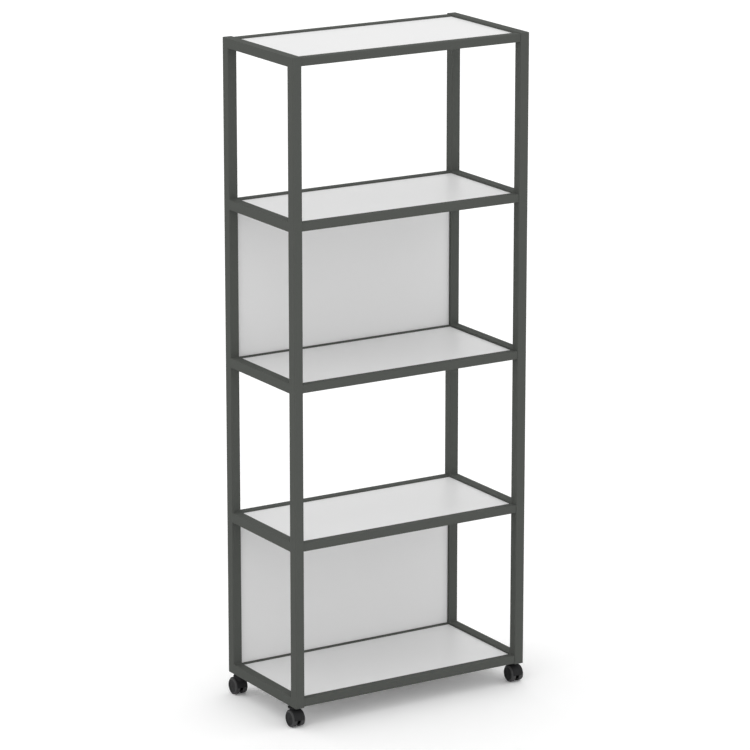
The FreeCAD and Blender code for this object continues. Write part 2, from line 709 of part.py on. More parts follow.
def make_panel_tabs():
    """Plates welded to the posts behind the panels."""
    body = new_body(
        "panel_tabs", y="Layout.panel_back_y",
        z="Layout.first_panel_bottom + Sizes.panel_tab_inset",
    )
    plate = new_sketch(body, "plate", "XZ_Plane")
    draw_box(
        plate, "Layout.clear_half_width - Sizes.tab_reach", "Layout.clear_half_width",
        "-Sizes.tab_width / 2", "Sizes.tab_width / 2",
    )
    tab = pad(body, "plate", plate, "Sizes.tab_thickness", reverse=True)
    hole, sink = drill_countersunk(
        body, "XZ_Plane", "Layout.panel_tab_x", "0", "-Sizes.tab_thickness", reverse=True
    )
    copy_features(body, [tab, hole, sink], *PANEL_COPIES)


def make_panel_screws():
    """Countersunk screws from behind through the panel tabs."""
    body = new_body(
        "panel_screws", y="Layout.panel_back_y + Sizes.tab_thickness",
        z="Layout.first_panel_bottom + Sizes.panel_tab_inset",
    )
    profile = new_sketch(body, "profile", "XY_Plane")
    outline = countersunk("Layout.panel_tab_x", "Sizes.panel_screw_length")
    draw_outline(profile, [(x, f"-({y})") for x, y in outline])
    screw = spin(body, "Revolution", "turned", profile, profile, SCREW_AXIS)
    copy_features(body, [screw], *PANEL_COPIES)


# ------------------------------------------------------------------ castors


def make_inserts():
    """Threaded inserts in the bottom side rails."""
    body = new_body("castor_inserts", z="Layout.castor_height")
    flange_circle = new_sketch(body, "flange", "XY_Plane")
    draw_circle(
        flange_circle, "Layout.post_x", "Layout.swivel_y",
        "Layout.insert_radius + Sizes.insert_flange_reach",
    )
    flange = pad(body, "flange", flange_circle, "Sizes.insert_flange", reverse=True)
    sleeve_circle = new_sketch(body, "sleeve", "XY_Plane")
    draw_circle(sleeve_circle, "Layout.post_x", "Layout.swivel_y", "Layout.insert_radius")
    sleeve = pad(body, "sleeve", sleeve_circle, "Sizes.insert_length")
    bore = new_sketch(body, "thread", "XY_Plane", "Sizes.insert_length")
    draw_circle(bore, "Layout.post_x", "Layout.swivel_y", "Layout.thread_hole")
    thread = pocket(body, "thread", bore, "Sizes.insert_length + Sizes.insert_flange")
    copy_features(body, [flange, sleeve, thread], *FOUR_CORNERS)


def make_stem(end, side):
    """Castor stem: swivel pin with its ring groove, collar and threaded shank."""
    body = new_body(
        f"{end}_{side}_castor_stem",
        x=f"{SIDES[side]} * Layout.post_x",
        y=f"{ENDS[end]} * Layout.swivel_y",
    )
    top = "Layout.castor_height + Sizes.thread_length"
    profile = new_sketch(body, "profile", "XZ_Plane")
    draw_outline(
        profile,
        [
            ("0", "Layout.pin_bottom"),
            ("Sizes.pin_radius", "Layout.pin_bottom"),
            ("Sizes.pin_radius", "Layout.ring_bottom - Sizes.ring_gap"),
            ("Layout.groove_radius", "Layout.ring_bottom - Sizes.ring_gap"),
            ("Layout.groove_radius", "Layout.ring_top + Sizes.ring_gap"),
            ("Sizes.pin_radius", "Layout.ring_top + Sizes.ring_gap"),
            ("Sizes.pin_radius", "Layout.collar_bottom"),
            ("Layout.collar_radius", "Layout.collar_bottom"),
            ("Layout.collar_radius", "Layout.collar_top"),
            ("Sizes.thread_radius", "Layout.collar_top"),
            ("Sizes.thread_radius", top),
            ("0", top),
        ],
    )
    spin(body, "Revolution", "turned", profile, origin_item(body, "Z_Axis"))


def make_stem_rings():
    """Snap rings in the grooves of the swivel pins."""
    body = new_body("stem_rings", z="Layout.ring_bottom")
    x = "Layout.post_x"
    y = "Layout.swivel_y"
    outline = new_sketch(body, "outline", "XY_Plane")
    draw_circle(outline, x, y, "Layout.ring_radius")
    draw_circle(outline, x, y, "Layout.groove_radius + Sizes.ring_gap")
    ring = pad(body, "ring", outline, "Sizes.ring_height")
    opening = new_sketch(body, "opening", "XY_Plane")
    draw_box(
        opening, x, f"{x} + 2 * Layout.ring_radius",
        f"{y} - Sizes.ring_slot / 2", f"{y} + Sizes.ring_slot / 2",
    )
    slot = pocket(body, "slot", opening, "Sizes.ring_height", reverse=True)
    copy_features(body, [ring, slot], *FOUR_CORNERS)


def make_hood(end, side):
    """Castor hood: arch over the wheels, web between them and turret round the swivel pin."""
    body = new_body(
        f"{end}_{side}_castor_hood",
        x=f"{SIDES[side]} * Layout.post_x",
        y=f"{ENDS[end]} * Layout.swivel_y",
        rotation=HALF_TURN if ENDS[end] > 0 else None,
    )
    axle_y = "-Sizes.castor_trail"
    axle_z = "Sizes.wheel_radius"
    turret = new_sketch(body, "turret", "XY_Plane", axle_z)
    draw_circle(turret, "0", "0", "Sizes.turret_radius")
    pad(body, "turret", turret, f"Layout.turret_top - {axle_z}")
    flange = new_sketch(body, "flange", "XY_Plane", "Layout.turret_top")
    draw_circle(flange, "0", "0", "Sizes.turret_radius + Sizes.flange_reach")
    pad(body, "flange", flange, "Sizes.flange_height", reverse=True)
    round_edges(
        body, "flange_edge", "Sizes.flange_rounding",
        lambda edge: math.isclose(edge.BoundBox.ZMin, value("Layout.turret_top"), abs_tol=1e-6),
    )
    arch = new_sketch(body, "arch", "YZ_Plane")
    draw_arch(arch, axle_y, axle_z, "Layout.hood_radius", "Sizes.hood_drop")
    pad(body, "arch", arch, "2 * Layout.hood_half", symmetric=True)
    round_edges(body, "arch_edges", "Sizes.hood_rounding", is_arch_edge)
    well = new_sketch(body, "well", "YZ_Plane", "Layout.web_half")
    draw_circle(well, axle_y, axle_z, "Layout.well_radius")
    wells = pocket(body, "wells", well, "Layout.hood_half", reverse=True)
    mirror = mirrored("YZ_Plane")(body)
    body.addObject(mirror)
    mirror.Originals = [wells]
    body.Tip = mirror
    boss = new_sketch(body, "boss", "YZ_Plane")
    draw_circle(boss, axle_y, axle_z, "Sizes.boss_radius")
    pad(body, "boss", boss, "2 * Layout.web_half", symmetric=True)
    bore = new_sketch(body, "axle_bore", "YZ_Plane")
    draw_circle(bore, axle_y, axle_z, "Sizes.axle_radius + Sizes.running_fit")
    pocket(body, "axle_bore", bore, symmetric=True)
    socket = new_sketch(body, "socket", "XY_Plane", "Layout.turret_top")
    draw_circle(socket, "0", "0", "Sizes.pin_radius + Sizes.running_fit")
    pocket(body, "socket", socket, "Sizes.socket_depth")
    groove = new_sketch(body, "ring_groove", "XZ_Plane")
    draw_box(
        groove, "0", "Layout.ring_radius + Sizes.ring_gap",
        "Layout.ring_bottom - Sizes.ring_gap", "Layout.ring_top + Sizes.ring_gap",
    )
    spin(body, "Groove", "ring_groove", groove, origin_item(body, "Z_Axis"))


def draw_arch(sketch, x, y, radius, drop):
    """Circle about (x, y) cut off by a level line at a drop below its centre."""
    centre = FreeCAD.Vector(value(x), value(y), 0)
    angle = math.asin(value(drop) / value(radius))
    circle = Part.Circle(centre, Z_AXIS, value(radius))
    arc = sketch.addGeometry(Part.ArcOfCircle(circle, -angle, math.pi + angle), False)
    ends = [circle.value(turn) for turn in (-angle, math.pi + angle)]
    chord = sketch.addGeometry(Part.LineSegment(ends[1], ends[0]), False)
    sketch.addConstraint(Sketcher.Constraint("Coincident", arc, 2, chord, 1))
    sketch.addConstraint(Sketcher.Constraint("Coincident", chord, 2, arc, 1))
    sketch.addConstraint(Sketcher.Constraint("Horizontal", chord))
    bind(sketch, "Radius", (arc,), radius)
    bind_point(sketch, arc, 3, x, y)
    bind(sketch, "DistanceY", (chord, 1, arc, 3), drop)


def is_arch_edge(edge):
    """Test for the round outer edges of the arch."""
    if edge.Curve.TypeId != "Part::GeomCircle":
        return False
    across = abs(edge.Curve.Axis.x) > 0.5
    return across and math.isclose(edge.Curve.Radius, value("Layout.hood_radius"), abs_tol=1e-6)


def make_axle(end, side):
    """Steel axle of a castor, across both wheels."""
    body = new_body(
        f"{end}_{side}_castor_axle",
        x=f"{SIDES[side]} * Layout.post_x",
        y=f"{ENDS[end]} * Layout.axle_y",
        z="Sizes.wheel_radius",
    )
    circle = new_sketch(body, "section", "YZ_Plane")
    draw_circle(circle, "0", "0", "Sizes.axle_radius")
    half = "(Layout.wheel_start + Layout.axle_bore_end - Sizes.axle_end_gap)"
    pad(body, "pin", circle, f"2 * {half}", symmetric=True)


def make_wheel(end, side, hand):
    """Castor wheel: tread and rim, dished disc, and a hub with a blind bore for the axle."""
    body = new_body(
        f"{end}_{side}_castor_{hand}_wheel",
        x=f"{SIDES[side]} * Layout.post_x + {SIDES[hand]} * Layout.wheel_start",
        y=f"{ENDS[end]} * Layout.axle_y",
        z="Sizes.wheel_radius",
        rotation=HALF_TURN if SIDES[hand] < 0 else None,
    )
    bore = "Sizes.axle_radius + Sizes.running_fit"
    bore_end = "Layout.axle_bore_end"
    rim = "Sizes.wheel_radius - Sizes.wheel_rim"
    disc_back = "Layout.disc_face - Sizes.wheel_disc"
    profile = new_sketch(body, "profile", "XZ_Plane")
    draw_outline(
        profile,
        [
            (bore_end, "0"),
            ("Layout.disc_face", "0"),
            ("Layout.disc_face", rim),
            ("Sizes.wheel_width", rim),
            ("Sizes.wheel_width", "Sizes.wheel_radius", "Sizes.wheel_rim - Sizes.wheel_lip"),
            ("0", "Sizes.wheel_radius"),
            ("0", rim),
            (disc_back, rim),
            (disc_back, "Sizes.wheel_hub"),
            ("0", "Sizes.wheel_hub"),
            ("0", bore),
            (bore_end, bore),
        ],
    )
    spin(body, "Revolution", "turned", profile, origin_item(body, "X_Axis"))


# ------------------------------------------------------------------ assembly and export


def build():
    """Make every sub-part."""
    for end in ENDS:
        for side in SIDES:
            make_post(end, side)
            make_stem(end, side)
            make_hood(end, side)
            make_axle(end, side)
            for hand in SIDES:
                make_wheel(end, side, hand)
    for level in LEVELS:
        for side in SIDES:
            make_side_rail(level, side)
        for end in ENDS:
            make_rail(level, end)
        make_shelf(level)
    for level in PANEL_LEVELS:
        make_panel(level)
    make_rail_connectors()
    make_connector_bolts()
    make_grub_screws()
    make_shelf_tabs()
    make_shelf_screws()
    make_panel_tabs()
    make_panel_screws()
    make_inserts()
    make_stem_rings()
    doc.recompute()


def check():
    """Stop if any object failed or any sub-part has no sound shape."""
    for item in doc.Objects:
        if "Invalid" in item.State or "Error" in item.State:
            raise RuntimeError(f"{item.Name} failed: {item.State}")
    for body in sub_parts:
        if body.Shape.isNull() or not body.Shape.isValid():
            raise RuntimeError(f"{body.Label} has no sound shape")


def export():
    """Write each sub-part to its own STEP file."""
    os.makedirs("parts", exist_ok=True)
    for body in sub_parts:
        body.Shape.exportStep(f"parts/{body.Label}.step")
        print(f"{body.Label}: {len(body.Shape.Solids)} solids, {body.Shape.Volume:.1f} mm3")


build()
check()
export()
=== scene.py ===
"""Looks of the mobile bookcase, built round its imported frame.

Metres, +Z up, +X to the right seen from the front, +Y to the back, floor at z = 0.
"""

import json
import logging
import math
from abc import ABC, abstractmethod
from collections.abc import Iterable, Sequence
from dataclasses import dataclass
from enum import Enum

import bmesh
import bpy
from bmesh.types import BMEdge, BMesh, BMFace, BMVert
from bpy.types import Material, Node, NodeSocket, Object, World
from mathutils import Matrix, Vector


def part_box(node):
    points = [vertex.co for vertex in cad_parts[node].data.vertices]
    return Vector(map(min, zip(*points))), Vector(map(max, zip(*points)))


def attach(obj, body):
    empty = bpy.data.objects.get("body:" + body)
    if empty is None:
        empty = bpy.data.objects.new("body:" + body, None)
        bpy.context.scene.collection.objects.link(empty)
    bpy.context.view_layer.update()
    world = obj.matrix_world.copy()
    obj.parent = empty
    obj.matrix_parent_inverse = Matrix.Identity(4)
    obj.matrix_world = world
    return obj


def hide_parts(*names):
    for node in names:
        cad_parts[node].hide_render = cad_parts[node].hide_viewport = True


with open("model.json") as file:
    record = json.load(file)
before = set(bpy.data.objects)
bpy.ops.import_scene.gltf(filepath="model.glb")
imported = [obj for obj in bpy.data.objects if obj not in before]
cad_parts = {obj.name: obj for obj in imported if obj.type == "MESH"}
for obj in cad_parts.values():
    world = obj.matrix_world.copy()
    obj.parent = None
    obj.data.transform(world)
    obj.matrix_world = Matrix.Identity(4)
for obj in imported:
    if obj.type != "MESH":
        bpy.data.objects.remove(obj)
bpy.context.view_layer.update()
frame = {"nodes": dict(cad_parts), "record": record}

FRAME_BODY = "frame"

# Metres within which two points are the same, and within which doubled vertices are merged.
SAME_PLACE = 1e-6
MERGE_DISTANCE = 1e-7
# Least angle of a fold that is rounded.
FOLD = math.radians(20)
QUARTER_TURN = math.pi / 2
# Side of the cube or square that a block or a sheet is scaled from.
UNIT = 1.0
# Least part of a face's normal along an axis for the face to look along it.
ALONG = 0.9
# Metres by which a cutter reaches past the face it opens: of a tab or screw, and of a hood.
PAST_TAB = 0.001
PAST_HOOD = 0.010
# Metres, radius of the axle's bore in hood and wheel.
AXLE_BORE = 0.00305
# How strongly large faces lead the shading of the rounded edges between them, out of 100.
FACE_WEIGHT = 80
WHITE = (1.0, 1.0, 1.0, 1.0)

log = logging.getLogger("bookcase")

Colour = tuple[float, float, float]
# Corner of a turned profile: place along X, radius and rounding of its edge.
Corner = tuple[float, float, float]
Point = Sequence[float]
Box = tuple[Vector, Vector]
Setting = float | int | str | bool | tuple | NodeSocket


class Axis(Enum):
    """The three axes, with their place in a vector."""

    X = 0
    Y = 1
    Z = 2


class Side(Enum):
    """Left and right side frame, with the sign of X on that side."""

    LEFT = -1
    RIGHT = 1

    @property
    def word(self) -> str:
        """The side as the CAD names spell it."""
        return self.name.lower()


class End(Enum):
    """Front and back, with the sign of Y at that end."""

    FRONT = -1
    BACK = 1

    @property
    def word(self) -> str:
        """The end as the CAD names spell it."""
        return self.name.lower()


class Level(Enum):
    """The five levels, from the floor up."""

    BOTTOM = "bottom"
    LOWER = "lower"
    MIDDLE = "middle"
    UPPER = "upper"
    TOP = "top"


# Levels whose bay above has a back panel.
PANEL_LEVELS = (Level.BOTTOM, Level.MIDDLE)


class Slot(Enum):
    """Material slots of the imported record."""

    POWDER = "powder_coat"
    BOARD = "white_board"
    PLASTIC = "castor_plastic"
    WHEEL = "castor_wheel"
    ZINC = "zinc_steel"


class Joining(Enum):
    """Ways to combine a tool with a solid."""

    ADD = "UNION"
    CUT = "DIFFERENCE"


# ---------- shader nodes


class NodeGraph:
    """Shader nodes of one material or world, added and joined in short calls."""

    # A Mix node names its sockets alike for every kind of value; these are the colour ones.
    MIX_DARK, MIX_LIGHT, MIX_RESULT = 6, 7, 2
    # How far neighbouring pebbles melt together.
    PEBBLE_MELT = 0.7

    def __init__(self, owner: Material | World) -> None:
        """Empty the owner's node tree.

        Args:
            owner: the material or world that the nodes belong to.
        """
        owner.use_nodes = True
        self.tree = owner.node_tree
        self.tree.nodes.clear()

    def add(
        self, kind: str, inputs: dict[str | int, Setting] | None = None, **settings: Setting
    ) -> Node:
        """Add a node.

        Args:
            kind: the node's type, without the leading "ShaderNode".
            inputs: for each input, a number or colour to set or a socket to join to it.
            settings: properties of the node itself.

        Returns:
            The new node.
        """
        node = self.tree.nodes.new(f"ShaderNode{kind}")
        for name, value in settings.items():
            setattr(node, name, value)
        for name, value in (inputs or {}).items():
            socket = node.inputs[name]
            if isinstance(value, NodeSocket):
                self.tree.links.new(value, socket)
            else:
                socket.default_value = value
        return node

    def spread(self, source: NodeSocket, low: float, high: float) -> NodeSocket:
        """Spread a 0 to 1 pattern over a range.

        Args:
            source: the pattern.
            low: value where the pattern is 0.
            high: value where the pattern is 1.

        Returns:
            The socket with the spread values.
        """
        ranged = self.add("MapRange", {"Value": source, "To Min": low, "To Max": high})
        return ranged.outputs["Result"]

    def tint(self, source: NodeSocket, dark: Colour, light: Colour) -> NodeSocket:
        """Run a pattern from one colour to another.

        Args:
            source: the pattern, 0 to 1.
            dark: colour where it is 0.
            light: colour where it is 1.

        Returns:
            The socket with the colours.
        """
        mix = self.add("Mix", data_type="RGBA")
        self.tree.links.new(source, mix.inputs["Factor"])
        mix.inputs[self.MIX_DARK].default_value = (*dark, 1.0)
        mix.inputs[self.MIX_LIGHT].default_value = (*light, 1.0)
        return mix.outputs[self.MIX_RESULT]

    def noise(
        self, size: float, detail: float = 2.0, stretch: Point = (1.0, 1.0, 1.0)
    ) -> NodeSocket:
        """Cloudy pattern on the object's own coordinates.

        Args:
            size: metres from one cloud to the next.
            detail: finer layers in it.
            stretch: how much denser it is along X, Y and Z.

        Returns:
            The pattern, 0 to 1.
        """
        place = self.add("TexCoord").outputs["Object"]
        drawn = self.add("Mapping", {"Vector": place, "Scale": tuple(stretch)}).outputs["Vector"]
        clouds = self.add("TexNoise", {"Vector": drawn, "Scale": 1.0 / size, "Detail": detail})
        return clouds.outputs["Fac"]

    def cells(self, size: float) -> NodeSocket:
        """Rounded pebbles on the object's own coordinates.

        Args:
            size: metres from one pebble to the next.

        Returns:
            Distance from the middle of each pebble, 0 to about 1.
        """
        place = self.add("TexCoord").outputs["Object"]
        pebbles = self.add(
            "TexVoronoi",
            {"Vector": place, "Scale": 1.0 / size, "Smoothness": self.PEBBLE_MELT},
            feature="SMOOTH_F1",
        )
        return pebbles.outputs["Distance"]


# ---------- finishes


def shade(colour: Colour, factor: float) -> Colour:
    """Make a colour darker or lighter by a factor."""
    return tuple(min(1.0, part * factor) for part in colour)


@dataclass(frozen=True)
class Finish:
    """A finish with a slow drift of colour, a drift of roughness and a fine relief.

    Attributes:
        name: name of its material.
        colour: linear colour.
        roughness: least and greatest roughness.
        relief_size: metres from one bump of the relief to the next.
        relief_height: metres, height of the relief.
        drift: share by which the colour wanders either way.
        drift_size: metres from one cloud of colour to the next.
        drift_detail: finer layers in those clouds.
        worn_size: bumps of the relief from one cloud of roughness to the next.
        metallic: 1 for bare metal.
        specular: specular level of the shader.
    """

    name: str
    colour: Colour
    roughness: tuple[float, float]
    relief_size: float
    relief_height: float
    drift: float = 0.03
    drift_size: float = 0.12
    drift_detail: float = 3.0
    worn_size: float = 6.0
    metallic: float = 0.0
    specular: float = 0.5

    def relief(self, graph: NodeGraph) -> NodeSocket:
        """Height pattern of the surface, 0 to 1."""
        return graph.noise(self.relief_size)

    def colours(self, graph: NodeGraph) -> NodeSocket:
        """Colour pattern of the surface."""
        dark, light = shade(self.colour, 1 - self.drift), shade(self.colour, 1 + self.drift)
        return graph.tint(graph.noise(self.drift_size, self.drift_detail), dark, light)

    def material(self) -> Material:
        """Make the finish's material, or give the one that was made before.

        Returns:
            The material.
        """
        found = bpy.data.materials.get(self.name)
        if found:
            return found
        made = bpy.data.materials.new(self.name)
        graph = NodeGraph(made)
        clouds = graph.noise(self.relief_size * self.worn_size)
        bump = graph.add(
            "Bump",
            {"Height": self.relief(graph), "Strength": 1.0, "Distance": self.relief_height},
        )
        shader = graph.add(
            "BsdfPrincipled",
            {
                "Base Color": self.colours(graph),
                "Roughness": graph.spread(clouds, *self.roughness),
                "Metallic": self.metallic,
                "Specular IOR Level": self.specular,
                "Normal": bump.outputs["Normal"],
            },
        )
        graph.add("OutputMaterial", {"Surface": shader.outputs["BSDF"]})
        made.diffuse_color = (*self.colour, 1.0)
        return made


@dataclass(frozen=True)
class PowderCoat(Finish):
    """Fine-textured matt powder coat: melted grains, speckled darker and paler.

    Attributes:
        peel: grains of the relief to one wave of the orange peel under them.
        speck: share by which the specks are darker or paler.
        speck_size: metres from one speck to the next.
        speck_detail: finer layers in the specks.
    """

    peel: float = 5.0
    speck: float = 0.17
    speck_size: float = 0.0012
    speck_detail: float = 3.0

    def relief(self, graph: NodeGraph) -> NodeSocket:
        """Melted grains on a soft orange peel.

        Args:
            graph: nodes to work in.

        Returns:
            The height pattern.
        """
        grains = graph.cells(self.relief_size)
        peel = graph.noise(self.relief_size * self.peel)
        return graph.add("Math", {0: grains, 1: peel}, operation="ADD").outputs["Value"]

    def colours(self, graph: NodeGraph) -> NodeSocket:
        """Slow drift of the coat with fine specks on it.

        Args:
            graph: nodes to work in.

        Returns:
            The colour pattern.
        """
        base = super().colours(graph)
        grain = graph.noise(self.speck_size, self.speck_detail)
        specks = graph.spread(grain, 1 - self.speck, 1 + self.speck)
        mix = graph.add("VectorMath", {0: base, "Scale": specks}, operation="SCALE")
        return mix.outputs["Vector"]


@dataclass(frozen=True)
class ZincPlate(Finish):
    """Bright zinc plate with faint turning marks and a blue and yellow cast.

    Attributes:
        cast: linear colour of the blue cast.
        marks: how much denser the marks lie along Z than along X and Y.
    """

    cast: Colour = (0.56, 0.60, 0.66)
    marks: float = 8.0

    def relief(self, graph: NodeGraph) -> NodeSocket:
        """Marks of the cutting tool, drawn out along the surface."""
        return graph.noise(self.relief_size, stretch=(1.0, 1.0, self.marks))

    def colours(self, graph: NodeGraph) -> NodeSocket:
        """Passivated zinc, from a blue cast to a warm one."""
        return graph.tint(graph.noise(self.drift_size, self.drift_detail), self.cast, self.colour)


POWDER_GRAPHITE = PowderCoat(
    name="graphite_powder_coat",
    colour=(0.0940, 0.0990, 0.0915),
    roughness=(0.76, 0.88),
    relief_size=0.0007,
    relief_height=0.00004,
    drift_size=0.3,
    specular=0.03,
)
WHITE_MELAMINE = Finish(
    name="white_melamine",
    colour=(0.815, 0.815, 0.815),
    roughness=(0.34, 0.46),
    relief_size=0.0016,
    relief_height=0.00002,
    drift=0.008,
    drift_size=0.2,
    specular=0.25,
)
WHITE_EDGING = Finish(
    name="white_edge_band",
    colour=(0.76, 0.76, 0.75),
    roughness=(0.40, 0.50),
    relief_size=0.003,
    relief_height=0.00002,
    drift=0.01,
)
BLACK_NYLON = Finish(
    name="black_moulded_nylon",
    colour=(0.0250, 0.0250, 0.0258),
    roughness=(0.46, 0.58),
    relief_size=0.0006,
    relief_height=0.00003,
    drift=0.08,
    drift_size=0.02,
    specular=0.08,
)
# Painted shade: the wheel's dished disc is coloured darker than the hood's nylon, standing in for
# the shade it lies in.
PAINTED_SHADE_DISC = Finish(
    name="black_moulded_disc",
    colour=(0.0195, 0.0195, 0.0203),
    roughness=(0.40, 0.52),
    relief_size=0.0008,
    relief_height=0.00002,
    drift=0.08,
    drift_size=0.02,
    specular=0.08,
)
# Partly a grey tread and partly painted light: the tread and raised rim are coloured lighter than
# the disc and hood, standing in for light from the bright floor on them.
GREY_TREAD_AND_PAINTED_LIGHT = Finish(
    name="grey_rolling_tread",
    colour=(0.070, 0.070, 0.071),
    roughness=(0.56, 0.70),
    relief_size=0.0011,
    relief_height=0.00005,
    drift=0.10,
    drift_size=0.012,
    specular=0.08,
)
ZINC = ZincPlate(
    name="bright_zinc_plate",
    colour=(0.66, 0.65, 0.62),
    roughness=(0.22, 0.42),
    relief_size=0.0008,
    relief_height=0.00002,
    drift_size=0.015,
    drift_detail=4.0,
    metallic=1.0,
)

NODE_FINISHES = {
    Slot.POWDER: POWDER_GRAPHITE,
    Slot.BOARD: WHITE_MELAMINE,
    Slot.PLASTIC: BLACK_NYLON,
    Slot.WHEEL: GREY_TREAD_AND_PAINTED_LIGHT,
    Slot.ZINC: ZINC,
}


# ---------- mesh helpers


def round_edges(bm: BMesh, edges: Iterable[BMEdge], radius: float, segments: int) -> None:
    """Round edges.

    Args:
        bm: mesh to work on.
        edges: edges to round.
        radius: metres, radius on a square edge.
        segments: steps round it.
    """
    bmesh.ops.bevel(
        bm,
        geom=list(edges),
        offset=radius,
        offset_type="OFFSET",
        segments=segments,
        profile=0.5,
        affect="EDGES",
        material=-1,
        clamp_overlap=False,
        loop_slide=True,
    )


def folded_edges(bm: BMesh) -> list[BMEdge]:
    """Edges where two faces meet in a fold."""
    shared = [edge for edge in bm.edges if len(edge.link_faces) == 2]
    return [edge for edge in shared if edge.calc_face_angle() > FOLD]


def everything(bm: BMesh) -> list[BMVert | BMEdge | BMFace]:
    """All vertices, edges and faces of a mesh."""
    return bm.verts[:] + bm.edges[:] + bm.faces[:]


def turn(bm: BMesh, angle: float, axis: Axis) -> None:
    """Turn a whole mesh about an axis through the origin."""
    about = Matrix.Rotation(angle, 3, axis.name)
    bmesh.ops.rotate(bm, verts=bm.verts, cent=(0, 0, 0), matrix=about)


def shift(bm: BMesh, way: Point) -> None:
    """Move a whole mesh."""
    bmesh.ops.translate(bm, verts=bm.verts, vec=way)


def add_block(bm: BMesh, low: Point, high: Point) -> list[BMVert]:
    """Add a square block.

    Args:
        bm: mesh to add it to.
        low: its lowest corner.
        high: its highest corner.

    Returns:
        Its eight corners.
    """
    low, high = Vector(low), Vector(high)
    corners = bmesh.ops.create_cube(bm, size=UNIT)["verts"]
    bmesh.ops.scale(bm, vec=high - low, verts=corners)
    bmesh.ops.translate(bm, vec=(low + high) / 2, verts=corners)
    return corners


def turned(profile: Sequence[Corner], steps: int, segments: int = 3) -> BMesh:
    """Turn a profile about the X axis, as on a lathe.

    Args:
        profile: its corners, from axis to axis.
        steps: steps round the turn.
        segments: steps round each rounded edge.

    Returns:
        The turned solid.
    """
    bm = bmesh.new()
    corners = [bm.verts.new((along, 0.0, radius)) for along, radius, _ in profile]
    edges = [bm.edges.new(pair) for pair in zip(corners, corners[1:])]
    bmesh.ops.spin(
        bm,
        geom=corners + edges,
        cent=(0, 0, 0),
        axis=(1, 0, 0),
        dvec=(0, 0, 0),
        angle=2 * math.pi,
        steps=steps,
        use_merge=True,
    )
    bmesh.ops.remove_doubles(bm, verts=bm.verts, dist=MERGE_DISTANCE)
    bmesh.ops.recalc_face_normals(bm, faces=bm.faces)
    for along, radius, rounding in profile:
        if rounding:
            ring = [e for e in bm.edges if all(on_ring(v.co, along, radius) for v in e.verts)]
            round_edges(bm, ring, rounding, segments)
    return bm


def on_ring(point: Vector, along: float, radius: float) -> bool:
    """Test for a point on a ring about the X axis."""
    off_radius = abs(math.hypot(point.y, point.z) - radius)
    return abs(point.x - along) < SAME_PLACE and off_radius < SAME_PLACE


def rod(start: Point, end: Point, radius: float, segments: int = 48) -> BMesh:
    """Make a straight round rod.

    Args:
        start: middle of one end.
        end: middle of the other.
        radius: metres.
        segments: steps round it.

    Returns:
        The rod.
    """
    start, end = Vector(start), Vector(end)
    along = end - start
    facing = along.to_track_quat("Z", "Y").to_matrix().to_4x4()
    bm = bmesh.new()
    bmesh.ops.create_cone(
        bm,
        cap_ends=True,
        segments=segments,
        radius1=radius,
        radius2=radius,
        depth=along.length,
        matrix=Matrix.Translation((start + end) / 2) @ facing,
    )
    return bm


def held(bm: BMesh, name: str) -> Object:
    """Put a mesh into a linked object and free it.

    Args:
        bm: the mesh, which is used up.
        name: name of the object.

    Returns:
        The object.
    """
    mesh = bpy.data.meshes.new(name)
    bm.to_mesh(mesh)
    bm.free()
    piece = bpy.data.objects.new(name, mesh)
    bpy.context.scene.collection.objects.link(piece)
    return piece


def combined(solid: BMesh, steps: Sequence[tuple[Joining, BMesh]]) -> BMesh:
    """Add tools to a solid or cut them out of it.

    Args:
        solid: what to start from. It is used up.
        steps: each tool and what to do with it. They are used up.

    Returns:
        The new solid.
    """
    base = held(solid, "solid")
    tools = [held(tool, "tool") for _, tool in steps]
    for (joining, _), tool in zip(steps, tools):
        modifier = base.modifiers.new(joining.name, "BOOLEAN")
        modifier.operation = joining.value
        modifier.solver = "EXACT"
        modifier.object = tool
    result = bmesh.new()
    evaluated = base.evaluated_get(bpy.context.evaluated_depsgraph_get())
    result.from_mesh(evaluated.to_mesh())
    evaluated.to_mesh_clear()
    for item in [base, *tools]:
        bpy.data.meshes.remove(item.data)
    return result


def copied(bm: BMesh, source: BMesh, placing: Matrix) -> None:
    """Add a copy of a mesh to another.

    Args:
        bm: mesh to add to.
        source: mesh to copy.
        placing: where the copy goes. It may mirror.
    """
    mesh = bpy.data.meshes.new("copy")
    source.to_mesh(mesh)
    mesh.transform(placing)
    if placing.determinant() < 0:
        mesh.flip_normals()
    bm.from_mesh(mesh)
    bpy.data.meshes.remove(mesh)


# ---------- pieces and assemblies


def finished(
    name: str,
    bm: BMesh,
    finishes: Sequence[Finish],
    replaces: Sequence[str] = (),
    body: str = FRAME_BODY,
    crease: float = 40.0,
) -> Object:
    """Make a mesh into a piece of the bookcase.

    Args:
        name: name of the piece.
        bm: its mesh, in place. It is used up.
        finishes: its finishes, in the order of the faces' material indices.
        replaces: CAD nodes that it stands for.
        body: CAD body that it rides on.
        crease: degrees past which an edge stays crisp.

    Returns:
        The piece.
    """
    for face in bm.faces:
        face.smooth = True
    piece = held(bm, name)
    piece.data.set_sharp_from_angle(angle=math.radians(crease))
    for finish in finishes:
        piece.data.materials.append(finish.material())
    weighting = piece.modifiers.new("even_shading", "WEIGHTED_NORMAL")
    weighting.keep_sharp = True
    weighting.weight = FACE_WEIGHT
    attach(piece, body)
    if replaces:
        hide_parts(*replaces)
    return piece


class Assembly(ABC):
    """Part of the bookcase that builds and dresses its own pieces."""

    @abstractmethod
    def build(self) -> list[Object]:
        """Build the pieces of the assembly."""


# ---------- side frames


